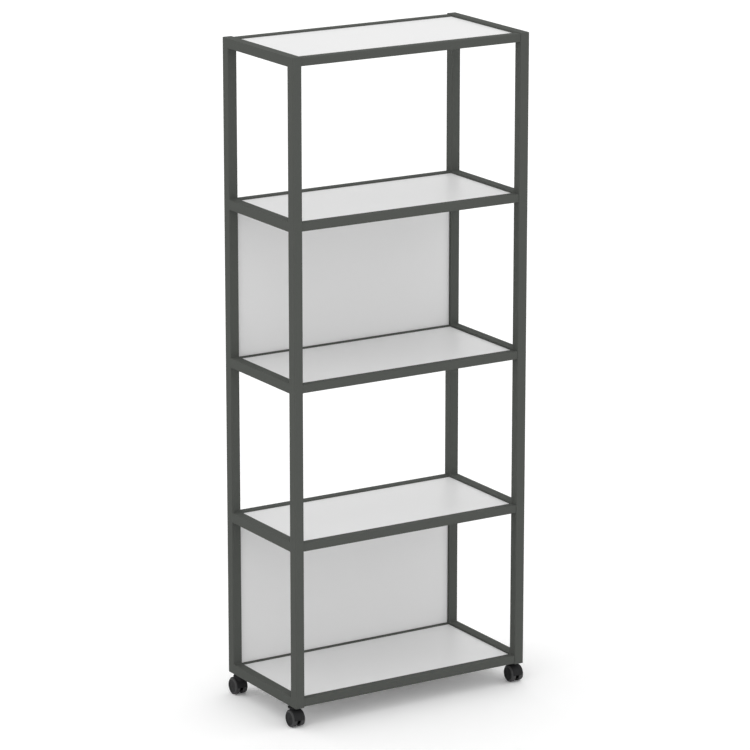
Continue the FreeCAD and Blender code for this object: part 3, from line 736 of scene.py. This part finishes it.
@dataclass
class SideFrame(Assembly):
    """Ladder frame of square tube: two posts and five rails, welded, ground flush, coated as one.

    Attributes:
        side: which side of the bookcase it stands on.
        corner: metres, radius of the tube's edges and of the welds in the inner corners.
        segments: steps round that radius.
    """

    side: Side
    corner: float = 0.0022
    segments: int = 4

    def nodes(self) -> list[str]:
        """CAD nodes that the frame stands for."""
        posts = [f"{end.word}_{self.side.word}_post" for end in End]
        return posts + [f"{level.value}_{self.side.word}_side_rail" for level in Level]

    def sheet(self) -> BMesh:
        """Cut the flat pattern of the frame out of one sheet, its four bays open.

        Returns:
            The pattern, in the plane of the frame's lower X face.
        """
        front, back, *rails = [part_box(node) for node in self.nodes()]
        low, high = front[0], back[1]
        middle = (low + high) / 2
        bm = bmesh.new()
        bmesh.ops.create_grid(bm, x_segments=1, y_segments=1, size=UNIT / 2)
        turn(bm, QUARTER_TURN, Axis.Y)
        bmesh.ops.scale(bm, verts=bm.verts, vec=(1.0, high.y - low.y, high.z - low.z))
        shift(bm, (low.x, middle.y, middle.z))
        cuts = [((0, y, 0), (0, 1, 0)) for y in (front[1].y, back[0].y)]
        cuts += [((0, 0, z), (0, 0, 1)) for rail in rails for z in (rail[0].z, rail[1].z)]
        for point, normal in cuts:
            bmesh.ops.bisect_plane(bm, geom=everything(bm), plane_co=point, plane_no=normal)
        centres = [(face, face.calc_center_median()) for face in bm.faces]
        bays = [face for face, centre in centres if self.in_a_bay(centre, front, back, rails)]
        bmesh.ops.delete(bm, geom=bays, context="FACES")
        return bm

    @staticmethod
    def in_a_bay(point: Vector, front: Box, back: Box, rails: Sequence[Box]) -> bool:
        """Test for a point between the posts that is on no rail."""
        on_a_rail = any(low.z < point.z < high.z for low, high in rails)
        return front[1].y < point.y < back[0].y and not on_a_rail

    @staticmethod
    def is_level(edge: BMEdge) -> bool:
        """Test for an edge with both its ends at one height."""
        first, second = edge.verts
        return abs(first.co.z - second.co.z) < SAME_PLACE

    def build(self) -> list[Object]:
        """Build the frame as one piece, with one flat face a side to each post and rail.

        Returns:
            The frame.
        """
        low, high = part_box(self.nodes()[0])
        bm = self.sheet()
        pushed = bmesh.ops.extrude_face_region(bm, geom=bm.faces[:])["geom"]
        moved = [item for item in pushed if isinstance(item, BMVert)]
        bmesh.ops.translate(bm, verts=moved, vec=(high.x - low.x, 0, 0))
        bmesh.ops.recalc_face_normals(bm, faces=bm.faces)
        folds = folded_edges(bm)
        cuts = [edge for edge in bm.edges if edge not in folds and self.is_level(edge)]
        bmesh.ops.dissolve_edges(bm, edges=cuts, use_verts=True)
        round_edges(bm, folded_edges(bm), self.corner, self.segments)
        name = f"{self.side.word}_side_frame"
        return [finished(name, bm, [POWDER_GRAPHITE], self.nodes())]


# ---------- boards and panels


@dataclass
class Board(Assembly):
    """Coated particle board with an edge band glued round it.

    Attributes:
        node: CAD node that it stands for.
        thin: axis across its thickness.
        rounding: metres, along every edge.
        segments: steps round that rounding.
        band: metres, edge band as seen on the broad faces.
    """

    node: str
    thin: Axis
    rounding: float = 0.0008
    segments: int = 3
    band: float = 0.0010

    def build(self) -> list[Object]:
        """Build the board with its edge band.

        Returns:
            The board.
        """
        low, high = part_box(self.node)
        bm = bmesh.new()
        add_block(bm, low, high)
        broad = [face for face in bm.faces if abs(face.normal[self.thin.value]) > ALONG]
        bmesh.ops.inset_individual(
            bm, faces=broad, thickness=self.band, depth=0.0, use_even_offset=True
        )
        skins = [WHITE_MELAMINE, WHITE_EDGING]
        for face in bm.faces:
            face.material_index = skins.index(WHITE_MELAMINE if face in broad else WHITE_EDGING)
        round_edges(bm, folded_edges(bm), self.rounding, self.segments)
        name = self.node.replace("_shelf", "_shelf_board").replace("_back_panel", "_panel_board")
        return [finished(name, bm, skins, [self.node])]


# ---------- tabs and screws


@dataclass(frozen=True)
class Weld:
    """Rippled weld bead along the local X axis.

    Attributes:
        radius: metres, at the top of a ripple.
        ripple: metres, from one ripple to the next.
        valley: share of the radius that is left between two ripples.
        end: share of the radius that is left at each end.
        segments: steps round it.
    """

    radius: float = 0.0017
    ripple: float = 0.0022
    valley: float = 0.8
    end: float = 0.55
    segments: int = 10

    def mesh(self, length: float) -> BMesh:
        """Make the bead.

        Args:
            length: metres.

        Returns:
            The bead, its middle at the origin.
        """
        rings = 2 * round(length / self.ripple)
        bm = rod((-length / 2, 0, 0), (length / 2, 0, 0), self.radius, self.segments)
        long = [e for e in bm.edges if abs(e.verts[0].co.x - e.verts[1].co.x) > length / 2]
        bmesh.ops.subdivide_edges(bm, edges=long, cuts=rings - 1, use_grid_fill=True)
        for vert in bm.verts:
            ring = round((vert.co.x + length / 2) / length * rings)
            share = self.end if ring in (0, rings) else (1.0 if ring % 2 else self.valley)
            vert.co.y *= share
            vert.co.z *= share
        return bm


@dataclass(frozen=True)
class Screw:
    """Countersunk screw along the local Z axis, head up, with a cross recess.

    Attributes:
        depth: metres, its tip below z = 0.
        head: metres, radius of its head.
        shank: metres, radius of its shank.
        edge: metres, chamfer round the head.
        sunk: metres, its face below the face that it is sunk into.
        arm: metres, reach, half width and depth of each arm of the recess.
        taper: shares of that reach and width that are left at the bottom.
    """

    depth: float
    head: float = 0.004
    shank: float = 0.002
    edge: float = 0.0002
    sunk: float = 0.00005
    arm: tuple[float, float, float] = (0.0023, 0.00045, 0.0016)
    taper: tuple[float, float] = (0.45, 0.7)

    def mesh(self, top: float) -> BMesh:
        """Make the screw, with a tip as long as the shank is thick.

        Args:
            top: metres, height of the face that it is sunk into.

        Returns:
            The screw.
        """
        bm = turned(
            [
                (-self.depth, 0.0, 0.0),
                (-self.depth + 2 * self.shank, self.shank, 0.0),
                (top - (self.head - self.shank), self.shank, 0.0),
                (top - self.edge, self.head, 0.0),
                (top - self.sunk, self.head - self.edge, 0.0),
                (top - self.sunk, 0.0, 0.0),
            ],
            steps=24,
        )
        turn(bm, -QUARTER_TURN, Axis.Y)
        angles = (QUARTER_TURN / 2, QUARTER_TURN + QUARTER_TURN / 2)
        return combined(bm, [(Joining.CUT, self.recess(top, angle)) for angle in angles])

    def recess(self, top: float, angle: float) -> BMesh:
        """Make the cutter of two opposite arms of the recess.

        Args:
            top: metres, height of the face that the screw is sunk into.
            angle: radians from X to the arms.

        Returns:
            The cutter.
        """
        reach, half, deep = self.arm
        bm = bmesh.new()
        block = add_block(bm, (-reach, -half, top - deep), (reach, half, top + PAST_TAB))
        bottom = [vert for vert in block if vert.co.z < top]
        bmesh.ops.scale(bm, verts=bottom, vec=(*self.taper, 1.0))
        turn(bm, angle, Axis.Z)
        return bm


@dataclass
class TabSet(Assembly):
    """Welded tabs with their screws: one set under the boards, one behind the panels.

    Attributes:
        tabs: CAD node of the tabs.
        screws: CAD node of the screws.
        screw: the screw in each tab.
        bead: metres along Y and Z, middle of the weld from the outer edge of the tab's root.
        weld: the weld at the root of each tab.
        size: width, reach and thickness of a tab.
        corner: metres, radius of its two free corners.
        rounding: metres, along its other free edges.
        play: metres, radius of its hole beyond the screw's.
        bare: share of the corner's radius that the weld leaves bare at each end.
    """

    tabs: str
    screws: str
    screw: Screw
    bead: tuple[float, float]
    weld: Weld = Weld()
    size: tuple[float, float, float] = (0.030, 0.022, 0.003)
    corner: float = 0.005
    rounding: float = 0.0003
    play: float = 0.0002
    bare: float = 1 / 3

    @abstractmethod
    def places(self) -> list[Matrix]:
        """Placings of the tabs: local X along the weld, Y out from the tube, Z off the board."""

    def plate(self) -> BMesh:
        """Make one tab, its weld edge on the local X axis and its board side at z = 0.

        Returns:
            The tab.
        """
        width, reach, thick = self.size
        bm = bmesh.new()
        add_block(bm, (-width / 2, 0, 0), (width / 2, reach, thick))
        across = [edge for edge in bm.edges if self.upright(edge)]
        free = [edge for edge in across if min(v.co.y for v in edge.verts) > reach / 2]
        round_edges(bm, free, self.corner, segments=6)
        flat = [edge for edge in folded_edges(bm) if not self.upright(edge)]
        rim = [edge for edge in flat if max(v.co.y for v in edge.verts) > SAME_PLACE]
        round_edges(bm, rim, self.rounding, segments=2)
        return combined(bm, [(Joining.CUT, self.countersink())])

    def countersink(self) -> BMesh:
        """Make the cutter of a tab's screw hole, its 90 degree cone opening off the board.

        Returns:
            The cutter.
        """
        top = self.size[2]
        throat = self.screw.shank + self.play
        start = top - self.screw.head + self.screw.shank
        bm = turned(
            [
                (-PAST_TAB, 0.0, 0.0),
                (-PAST_TAB, throat, 0.0),
                (start, throat, 0.0),
                (top + PAST_TAB, throat + top + PAST_TAB - start, 0.0),
                (top + PAST_TAB, 0.0, 0.0),
            ],
            steps=32,
        )
        turn(bm, -QUARTER_TURN, Axis.Y)
        shift(bm, (0, self.size[1] / 2, 0))
        return bm

    @staticmethod
    def upright(edge: BMEdge) -> bool:
        """Test for an edge across the thickness of a tab."""
        first, second = edge.verts
        return (first.co.xy - second.co.xy).length < SAME_PLACE

    def build(self) -> list[Object]:
        """Build all tabs with their welds as one piece, and all screws as another.

        Returns:
            The tabs and the screws.
        """
        width, reach, thick = self.size
        plate = self.plate()
        weld = self.weld.mesh(width - 2 * self.bare * self.corner)
        screw = self.screw.mesh(thick)
        root = Matrix.Translation((0, self.bead[0], thick + self.bead[1]))
        hole = Matrix.Translation((0, reach / 2, 0))
        tabs, screws = bmesh.new(), bmesh.new()
        for place in self.places():
            copied(tabs, plate, place)
            copied(tabs, weld, place @ root)
            copied(screws, screw, place @ hole)
        for used in (plate, weld, screw):
            used.free()
        return [
            finished(f"welded_{self.tabs}", tabs, [POWDER_GRAPHITE], [self.tabs]),
            finished(f"countersunk_{self.screws}", screws, [ZINC], [self.screws]),
        ]


@dataclass
class ShelfTabs(TabSet):
    """Tabs welded to the front and back rails under the boards, beads along the rails' edges.

    Attributes:
        spacing: metres between the two tabs on a rail.
    """

    tabs: str = "shelf_tabs"
    screws: str = "shelf_screws"
    screw: Screw = Screw(depth=0.014)
    bead: tuple[float, float] = (-0.0004, -0.0013)
    spacing: float = 0.500

    def places(self) -> list[Matrix]:
        """Two tabs on each front and back rail, facing down.

        Returns:
            Their placings.
        """
        flip = Matrix.Rotation(math.pi, 4, "X") @ Matrix.Rotation(math.pi, 4, "Z")
        made = []
        for level in Level:
            for end in End:
                low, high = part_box(f"{level.value}_{end.word}_rail")
                inner = low.y if end is End.BACK else high.y
                facing = Matrix.Rotation(0.0 if end is End.FRONT else math.pi, 4, "Z")
                for across in (-self.spacing / 2, self.spacing / 2):
                    spot = Matrix.Translation((across, inner, low.z + self.size[2]))
                    made.append(spot @ facing @ flip)
        return made


@dataclass
class PanelTabs(TabSet):
    """Tabs welded to the posts behind the panels, beads on the side that looks to the back.

    Attributes:
        inset: metres, each tab from the lower or upper edge of its panel.
        levels: levels on which a panel stands.
    """

    tabs: str = "panel_tabs"
    screws: str = "panel_screws"
    screw: Screw = Screw(depth=0.009)
    bead: tuple[float, float] = (0.0002, 0.0002)
    inset: float = 0.060
    levels: tuple[Level, ...] = PANEL_LEVELS

    def places(self) -> list[Matrix]:
        """Four tabs to a panel, facing back.

        Returns:
            Their placings.
        """
        made = []
        for level in self.levels:
            low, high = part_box(f"{level.value}_back_panel")
            for side in Side:
                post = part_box(f"back_{side.word}_post")
                inner = post[0].x if side is Side.RIGHT else post[1].x
                axes = Matrix(((0, -side.value, 0), (0, 0, 1), (-side.value, 0, 0))).to_4x4()
                for height in (low.z + self.inset, high.z - self.inset):
                    made.append(Matrix.Translation((inner, high.y, height)) @ axes)
        return made


# ---------- castors


@dataclass(frozen=True)
class Hood:
    """Moulded hood of a castor: arch over both wheels, web with its boss, and turret.

    Attributes:
        arch: metres, outer radius of the arch.
        well: metres, inner radius of it.
        half_width: metres, arch from its middle to its open side.
        web: metres, half thickness of the web between the wheels.
        root: metres, rounding between the web and the arch.
        lip: metres, rounding of the arch's inner edges.
        shoulder: metres, rounding of the arch's outer edges.
        drop: metres, lower edge of the arch below the axle.
        boss: metres, radius of the web round the axle.
        turret: metres, radius of the turret's neck.
        neck: metres, rounding between the neck and the flange.
        flange: metres, radius of the flange round the top of the turret.
        flange_height: metres, thickness of that flange.
        flange_edges: metres, rounding of its lower and upper edge.
        socket: metres, radius of the swivel pin's socket.
        socket_depth: metres, depth of that socket.
        dish: metres beyond the socket's radius, top and bottom of the dish round it.
        dish_depth: metres, depth of that dish.
    """

    arch: float = 0.0274
    well: float = 0.0256
    half_width: float = 0.0165
    web: float = 0.0060
    root: float = 0.0006
    lip: float = 0.0004
    shoulder: float = 0.0008
    drop: float = 0.0005
    boss: float = 0.0090
    turret: float = 0.0135
    neck: float = 0.0010
    flange: float = 0.0180
    flange_height: float = 0.0035
    flange_edges: tuple[float, float] = (0.0005, 0.0012)
    socket: float = 0.00405
    socket_depth: float = 0.018
    dish: tuple[float, float] = (0.0055, 0.0051)
    dish_depth: float = 0.0004

    def shell(self) -> BMesh:
        """Make the arch with its web, about an axle on the X axis.

        Returns:
            The arch, cut off and closed at its lower edge.
        """
        bm = turned(
            [
                (-self.web, 0.0, 0.0),
                (-self.web, self.well, self.root),
                (-self.half_width, self.well, self.lip),
                (-self.half_width, self.arch, self.shoulder),
                (self.half_width, self.arch, self.shoulder),
                (self.half_width, self.well, self.lip),
                (self.web, self.well, self.root),
                (self.web, 0.0, 0.0),
            ],
            steps=96,
        )
        cut = bmesh.ops.bisect_plane(
            bm,
            geom=everything(bm),
            dist=MERGE_DISTANCE,
            plane_co=(0, 0, -self.drop),
            plane_no=(0, 0, 1),
            clear_inner=True,
        )
        rim = [item for item in cut["geom_cut"] if isinstance(item, BMEdge)]
        bmesh.ops.holes_fill(bm, edges=rim, sides=0)
        return bm

    def tower(self, foot: float, top: float) -> BMesh:
        """Make the turret with its flange and the dish in its top, about the Z axis.

        Args:
            foot: metres, height at which it starts, inside the arch.
            top: metres, height of its top.

        Returns:
            The turret.
        """
        under, over = self.flange_edges
        brim, bottom = self.dish
        bm = turned(
            [
                (foot, 0.0, 0.0),
                (foot, self.turret, 0.0),
                (top - self.flange_height, self.turret, self.neck),
                (top - self.flange_height, self.flange, under),
                (top, self.flange, over),
                (top, self.socket + brim, 0.0),
                (top - self.dish_depth, self.socket + bottom, 0.0),
                (top - self.dish_depth, 0.0, 0.0),
            ],
            steps=64,
        )
        turn(bm, -QUARTER_TURN, Axis.Y)
        return bm

    @staticmethod
    def crosswise(axle: Vector, start: float, end: float, radius: float) -> BMesh:
        """Make a rod along an axle, from one place on X to another."""
        return rod((start, axle.y, axle.z), (end, axle.y, axle.z), radius)

    def build(self, castor: str) -> Object:
        """Build the hood of one castor.

        Args:
            castor: name of the castor, and of the CAD body of its hood.

        Returns:
            The hood.
        """
        node = f"{castor}_hood"
        low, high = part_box(node)
        axle = sum(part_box(f"{castor}_axle"), Vector()) / 2
        stem = sum(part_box(f"{castor}_stem"), Vector()) / 2
        shell = self.shell()
        shift(shell, axle)
        tower = self.tower(axle.z, high.z)
        shift(tower, (stem.x, stem.y, 0))
        boss = self.crosswise(axle, axle.x - self.web, axle.x + self.web, self.boss)
        bore = self.crosswise(axle, low.x - PAST_HOOD, high.x + PAST_HOOD, AXLE_BORE)
        pin_end = (stem.x, stem.y, high.z - self.socket_depth)
        socket = rod(pin_end, (stem.x, stem.y, high.z + PAST_HOOD), self.socket)
        added = [(Joining.ADD, boss), (Joining.ADD, tower)]
        bm = combined(shell, added + [(Joining.CUT, socket), (Joining.CUT, bore)])
        name = f"{castor}_moulded_hood"
        return finished(name, bm, [BLACK_NYLON], [node], castor)


@dataclass(frozen=True)
class Wheel:
    """Wheel of a castor: rounded tread, raised rim, dished disc with a dimple, and hub.

    Attributes:
        tread: metres, thickness of the tread.
        tread_edges: metres, rounding of its inner and outer edge.
        bore_depth: metres, depth of the axle's bore.
        bore_edge: metres, rounding of the bore's mouth.
        hub: metres, radius of the hub.
        pocket: metres, depth of the hollow between the hub and the tread.
        pocket_corner: metres, rounding at the bottom of that hollow.
        lip: metres, rounding of the other edges.
        disc: metres, inner face of the wheel to the outer face of its disc.
        slope: metres by which the side of the disc's recess leans in.
        seam: share of that slope past which the side counts as part of the disc.
        dish: metres by which the disc lies deeper at the foot of its raised middle.
        middle: metres, radius of the raised middle at its foot and at its top.
        dimple: metres, radius of the dimple at its mouth and at its bottom.
        dimple_depth: metres, depth of the dimple.
        dimple_edge: metres, rounding of its mouth.
    """

    tread: float = 0.005
    tread_edges: tuple[float, float] = (0.0008, 0.0035)
    bore_depth: float = 0.0115
    bore_edge: float = 0.0003
    hub: float = 0.0065
    pocket: float = 0.0105
    pocket_corner: float = 0.0012
    lip: float = 0.0004
    disc: float = 0.0128
    slope: float = 0.0004
    seam: float = 0.25
    dish: float = 0.0004
    middle: tuple[float, float] = (0.0090, 0.0082)
    dimple: tuple[float, float] = (0.0026, 0.0024)
    dimple_depth: float = 0.0008
    dimple_edge: float = 0.0002

    def profile(self, width: float, radius: float) -> list[Corner]:
        """Corners of the wheel from the axle out and back, inner face first.

        Args:
            width: metres, width of the wheel.
            radius: metres, radius of the wheel.

        Returns:
            The corners.
        """
        rim = radius - self.tread
        inner, outer = self.tread_edges
        foot, crown = self.middle
        mouth, bottom = self.dimple
        return [
            (self.bore_depth, 0.0, 0.0),
            (self.bore_depth, AXLE_BORE, 0.0),
            (0.0, AXLE_BORE, self.bore_edge),
            (0.0, self.hub, self.lip),
            (self.pocket, self.hub, self.pocket_corner),
            (self.pocket, rim, self.pocket_corner),
            (0.0, rim, self.lip),
            (0.0, radius, inner),
            (width, radius, outer),
            (width, rim, self.lip),
            (self.disc, rim - self.slope, self.lip),
            (self.disc - self.dish, foot, 0.0),
            (self.disc, crown, 0.0),
            (self.disc, mouth, self.dimple_edge),
            (self.disc - self.dimple_depth, bottom, 0.0),
            (self.disc - self.dimple_depth, 0.0, 0.0),
        ]

    def build(self, castor: str, hand: Side) -> Object:
        """Build one wheel of a castor.

        Args:
            castor: name of the castor.
            hand: which of its two wheels.

        Returns:
            The wheel.
        """
        node = f"{castor}_{hand.word}_wheel"
        low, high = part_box(node)
        radius = (high.z - low.z) / 2
        bm = turned(self.profile(high.x - low.x, radius), steps=72, segments=4)
        # Faces out past the seam take the lighter tread colour, which holds painted light from the
        # floor.
        least = radius - self.tread - self.seam * self.slope
        # The disc takes the darker colour, which holds painted shade.
        skins = [PAINTED_SHADE_DISC, GREY_TREAD_AND_PAINTED_LIGHT]
        for face in bm.faces:
            centre = face.calc_center_median()
            on_tread = math.hypot(centre.y, centre.z) > least
            face.material_index = skins.index(GREY_TREAD_AND_PAINTED_LIGHT if on_tread else PAINTED_SHADE_DISC)
        if hand is Side.LEFT:
            turn(bm, math.pi, Axis.Z)
        inner = low.x if hand is Side.RIGHT else high.x
        shift(bm, (inner, (low.y + high.y) / 2, (low.z + high.z) / 2))
        return finished(f"{node}_turned", bm, skins, [node], node)


@dataclass
class Castor(Assembly):
    """Twin-wheel castor under one corner of the bookcase.

    Attributes:
        end: front or back.
        side: left or right.
        hood: form of its hood.
        wheel: form of both its wheels.
    """

    end: End
    side: Side
    hood: Hood = Hood()
    wheel: Wheel = Wheel()

    @property
    def name(self) -> str:
        """Name of the castor, and of the CAD body of its hood."""
        return f"{self.end.word}_{self.side.word}_castor"

    def build(self) -> list[Object]:
        """Build the hood and both wheels."""
        return [self.hood.build(self.name), *[self.wheel.build(self.name, hand) for hand in Side]]


# ---------- nodes that stay as they are


def dress_nodes() -> None:
    """Give every CAD node that still shows the finish of its slot."""
    slots = {part["node"]: Slot(part["material_slot"]) for part in frame["record"]["subparts"]}
    for name, node in sorted(frame["nodes"].items()):
        if node.hide_render:
            continue
        finish = NODE_FINISHES[slots[name]]
        for place in node.material_slots:
            place.material = finish.material()
        log.info("%s keeps its shape, in %s", name, finish.name)


# ---------- light, floor, camera


@dataclass(frozen=True)
class Studio:
    """Soft sky over a pale floor, against white for the camera and for reflections.

    Attributes:
        zenith: strength of the sky overhead.
        horizon: strength of the sky at the horizon.
        floor_size: metres, half the side of the floor.
        floor_seen: colour of the floor as it is seen, where it ends in plain white.
        floor_lit: colour of the floor as it lights the object.
    """

    zenith: float = 1.06
    horizon: float = 1.00
    floor_size: float = 14.0
    floor_seen: float = 1.09
    floor_lit: float = 0.80

    @staticmethod
    def seen(graph: NodeGraph) -> NodeSocket:
        """Tell rays that see a surface from rays that only light it.

        Args:
            graph: nodes to work in.

        Returns:
            1 for camera, glossy and transmission rays, and 0 for the rest.
        """
        path = graph.add("LightPath")
        total = path.outputs["Is Camera Ray"]
        for kind in ("Is Glossy Ray", "Is Transmission Ray"):
            either = graph.add("Math", {0: total, 1: path.outputs[kind]}, operation="MAXIMUM")
            total = either.outputs["Value"]
        return total

    def sky(self) -> None:
        """Make the world: a dome for the light and plain white for what is seen."""
        world = bpy.data.worlds.new("soft_dome")
        bpy.context.scene.world = world
        graph = NodeGraph(world)
        direction = graph.add("TexCoord").outputs["Generated"]
        height = graph.add("SeparateXYZ", {"Vector": direction}).outputs["Z"]
        strength = graph.spread(height, self.horizon, self.zenith)
        dome = graph.add("Background", {"Color": WHITE, "Strength": strength})
        plain = graph.add("Background", {"Color": WHITE, "Strength": 1.0})
        mix = graph.add("MixShader", {0: self.seen(graph), 1: dome.outputs[0], 2: plain.outputs[0]})
        graph.add("OutputWorld", {"Surface": mix.outputs["Shader"]})

    def floor(self) -> None:
        """Lay the floor, which keeps the shadow and clips to white away from it."""
        bm = bmesh.new()
        bmesh.ops.create_grid(bm, x_segments=1, y_segments=1, size=self.floor_size)
        floor = held(bm, "floor")
        material = bpy.data.materials.new("pale_floor")
        graph = NodeGraph(material)
        seen = graph.add("BsdfDiffuse", {"Color": (*[self.floor_seen] * 3, 1)})
        lit = graph.add("BsdfDiffuse", {"Color": (*[self.floor_lit] * 3, 1)})
        mix = graph.add("MixShader", {0: self.seen(graph), 1: lit.outputs[0], 2: seen.outputs[0]})
        graph.add("OutputMaterial", {"Surface": mix.outputs["Shader"]})
        floor.data.materials.append(material)

    def build(self) -> None:
        """Set up the sky and the floor."""
        bpy.context.scene.view_settings.view_transform = "Standard"
        self.sky()
        self.floor()


@dataclass(frozen=True)
class Viewpoint:
    """Where the camera stands and looks.

    Attributes:
        position: metres.
        bearing: degrees from +Y towards +X.
        tilt: degrees below the horizon.
        lens: millimetres.
        sensor: millimetres, width of the sensor.
    """

    position: tuple[float, float, float] = (-5.9717, -9.7059, 4.0201)
    bearing: float = 31.582
    tilt: float = 14.95
    lens: float = 190.84
    sensor: float = 36.0

    def build(self) -> None:
        """Set up the camera."""
        data = bpy.data.cameras.new("camera")
        data.sensor_width = self.sensor
        data.lens = self.lens
        camera = bpy.data.objects.new("camera", data)
        bpy.context.scene.collection.objects.link(camera)
        camera.location = self.position
        camera.rotation_euler = (math.radians(90 - self.tilt), 0.0, math.radians(-self.bearing))
        bpy.context.scene.camera = camera


# ---------- main


def corners(box: Box) -> list[list[float]]:
    """Give a box as plain lists of numbers."""
    return [[float(value) for value in corner] for corner in box]


def main() -> None:
    """Build the bookcase's looks, its light and its camera."""
    logging.basicConfig(level=logging.INFO, format="%(name)s: %(message)s")
    assemblies: list[Assembly] = [SideFrame(side) for side in Side]
    assemblies += [Board(f"{level.value}_shelf", thin=Axis.Z) for level in Level]
    assemblies += [Board(f"{level.value}_back_panel", thin=Axis.Y) for level in PANEL_LEVELS]
    assemblies += [ShelfTabs(), PanelTabs()]
    assemblies += [Castor(end, side) for end in End for side in Side]
    for assembly in assemblies:
        for piece in assembly.build():
            log.info("%s built, %d faces", piece.name, len(piece.data.polygons))
    dress_nodes()
    Studio().build()
    Viewpoint().build()


if __name__ == "__main__":
    main()
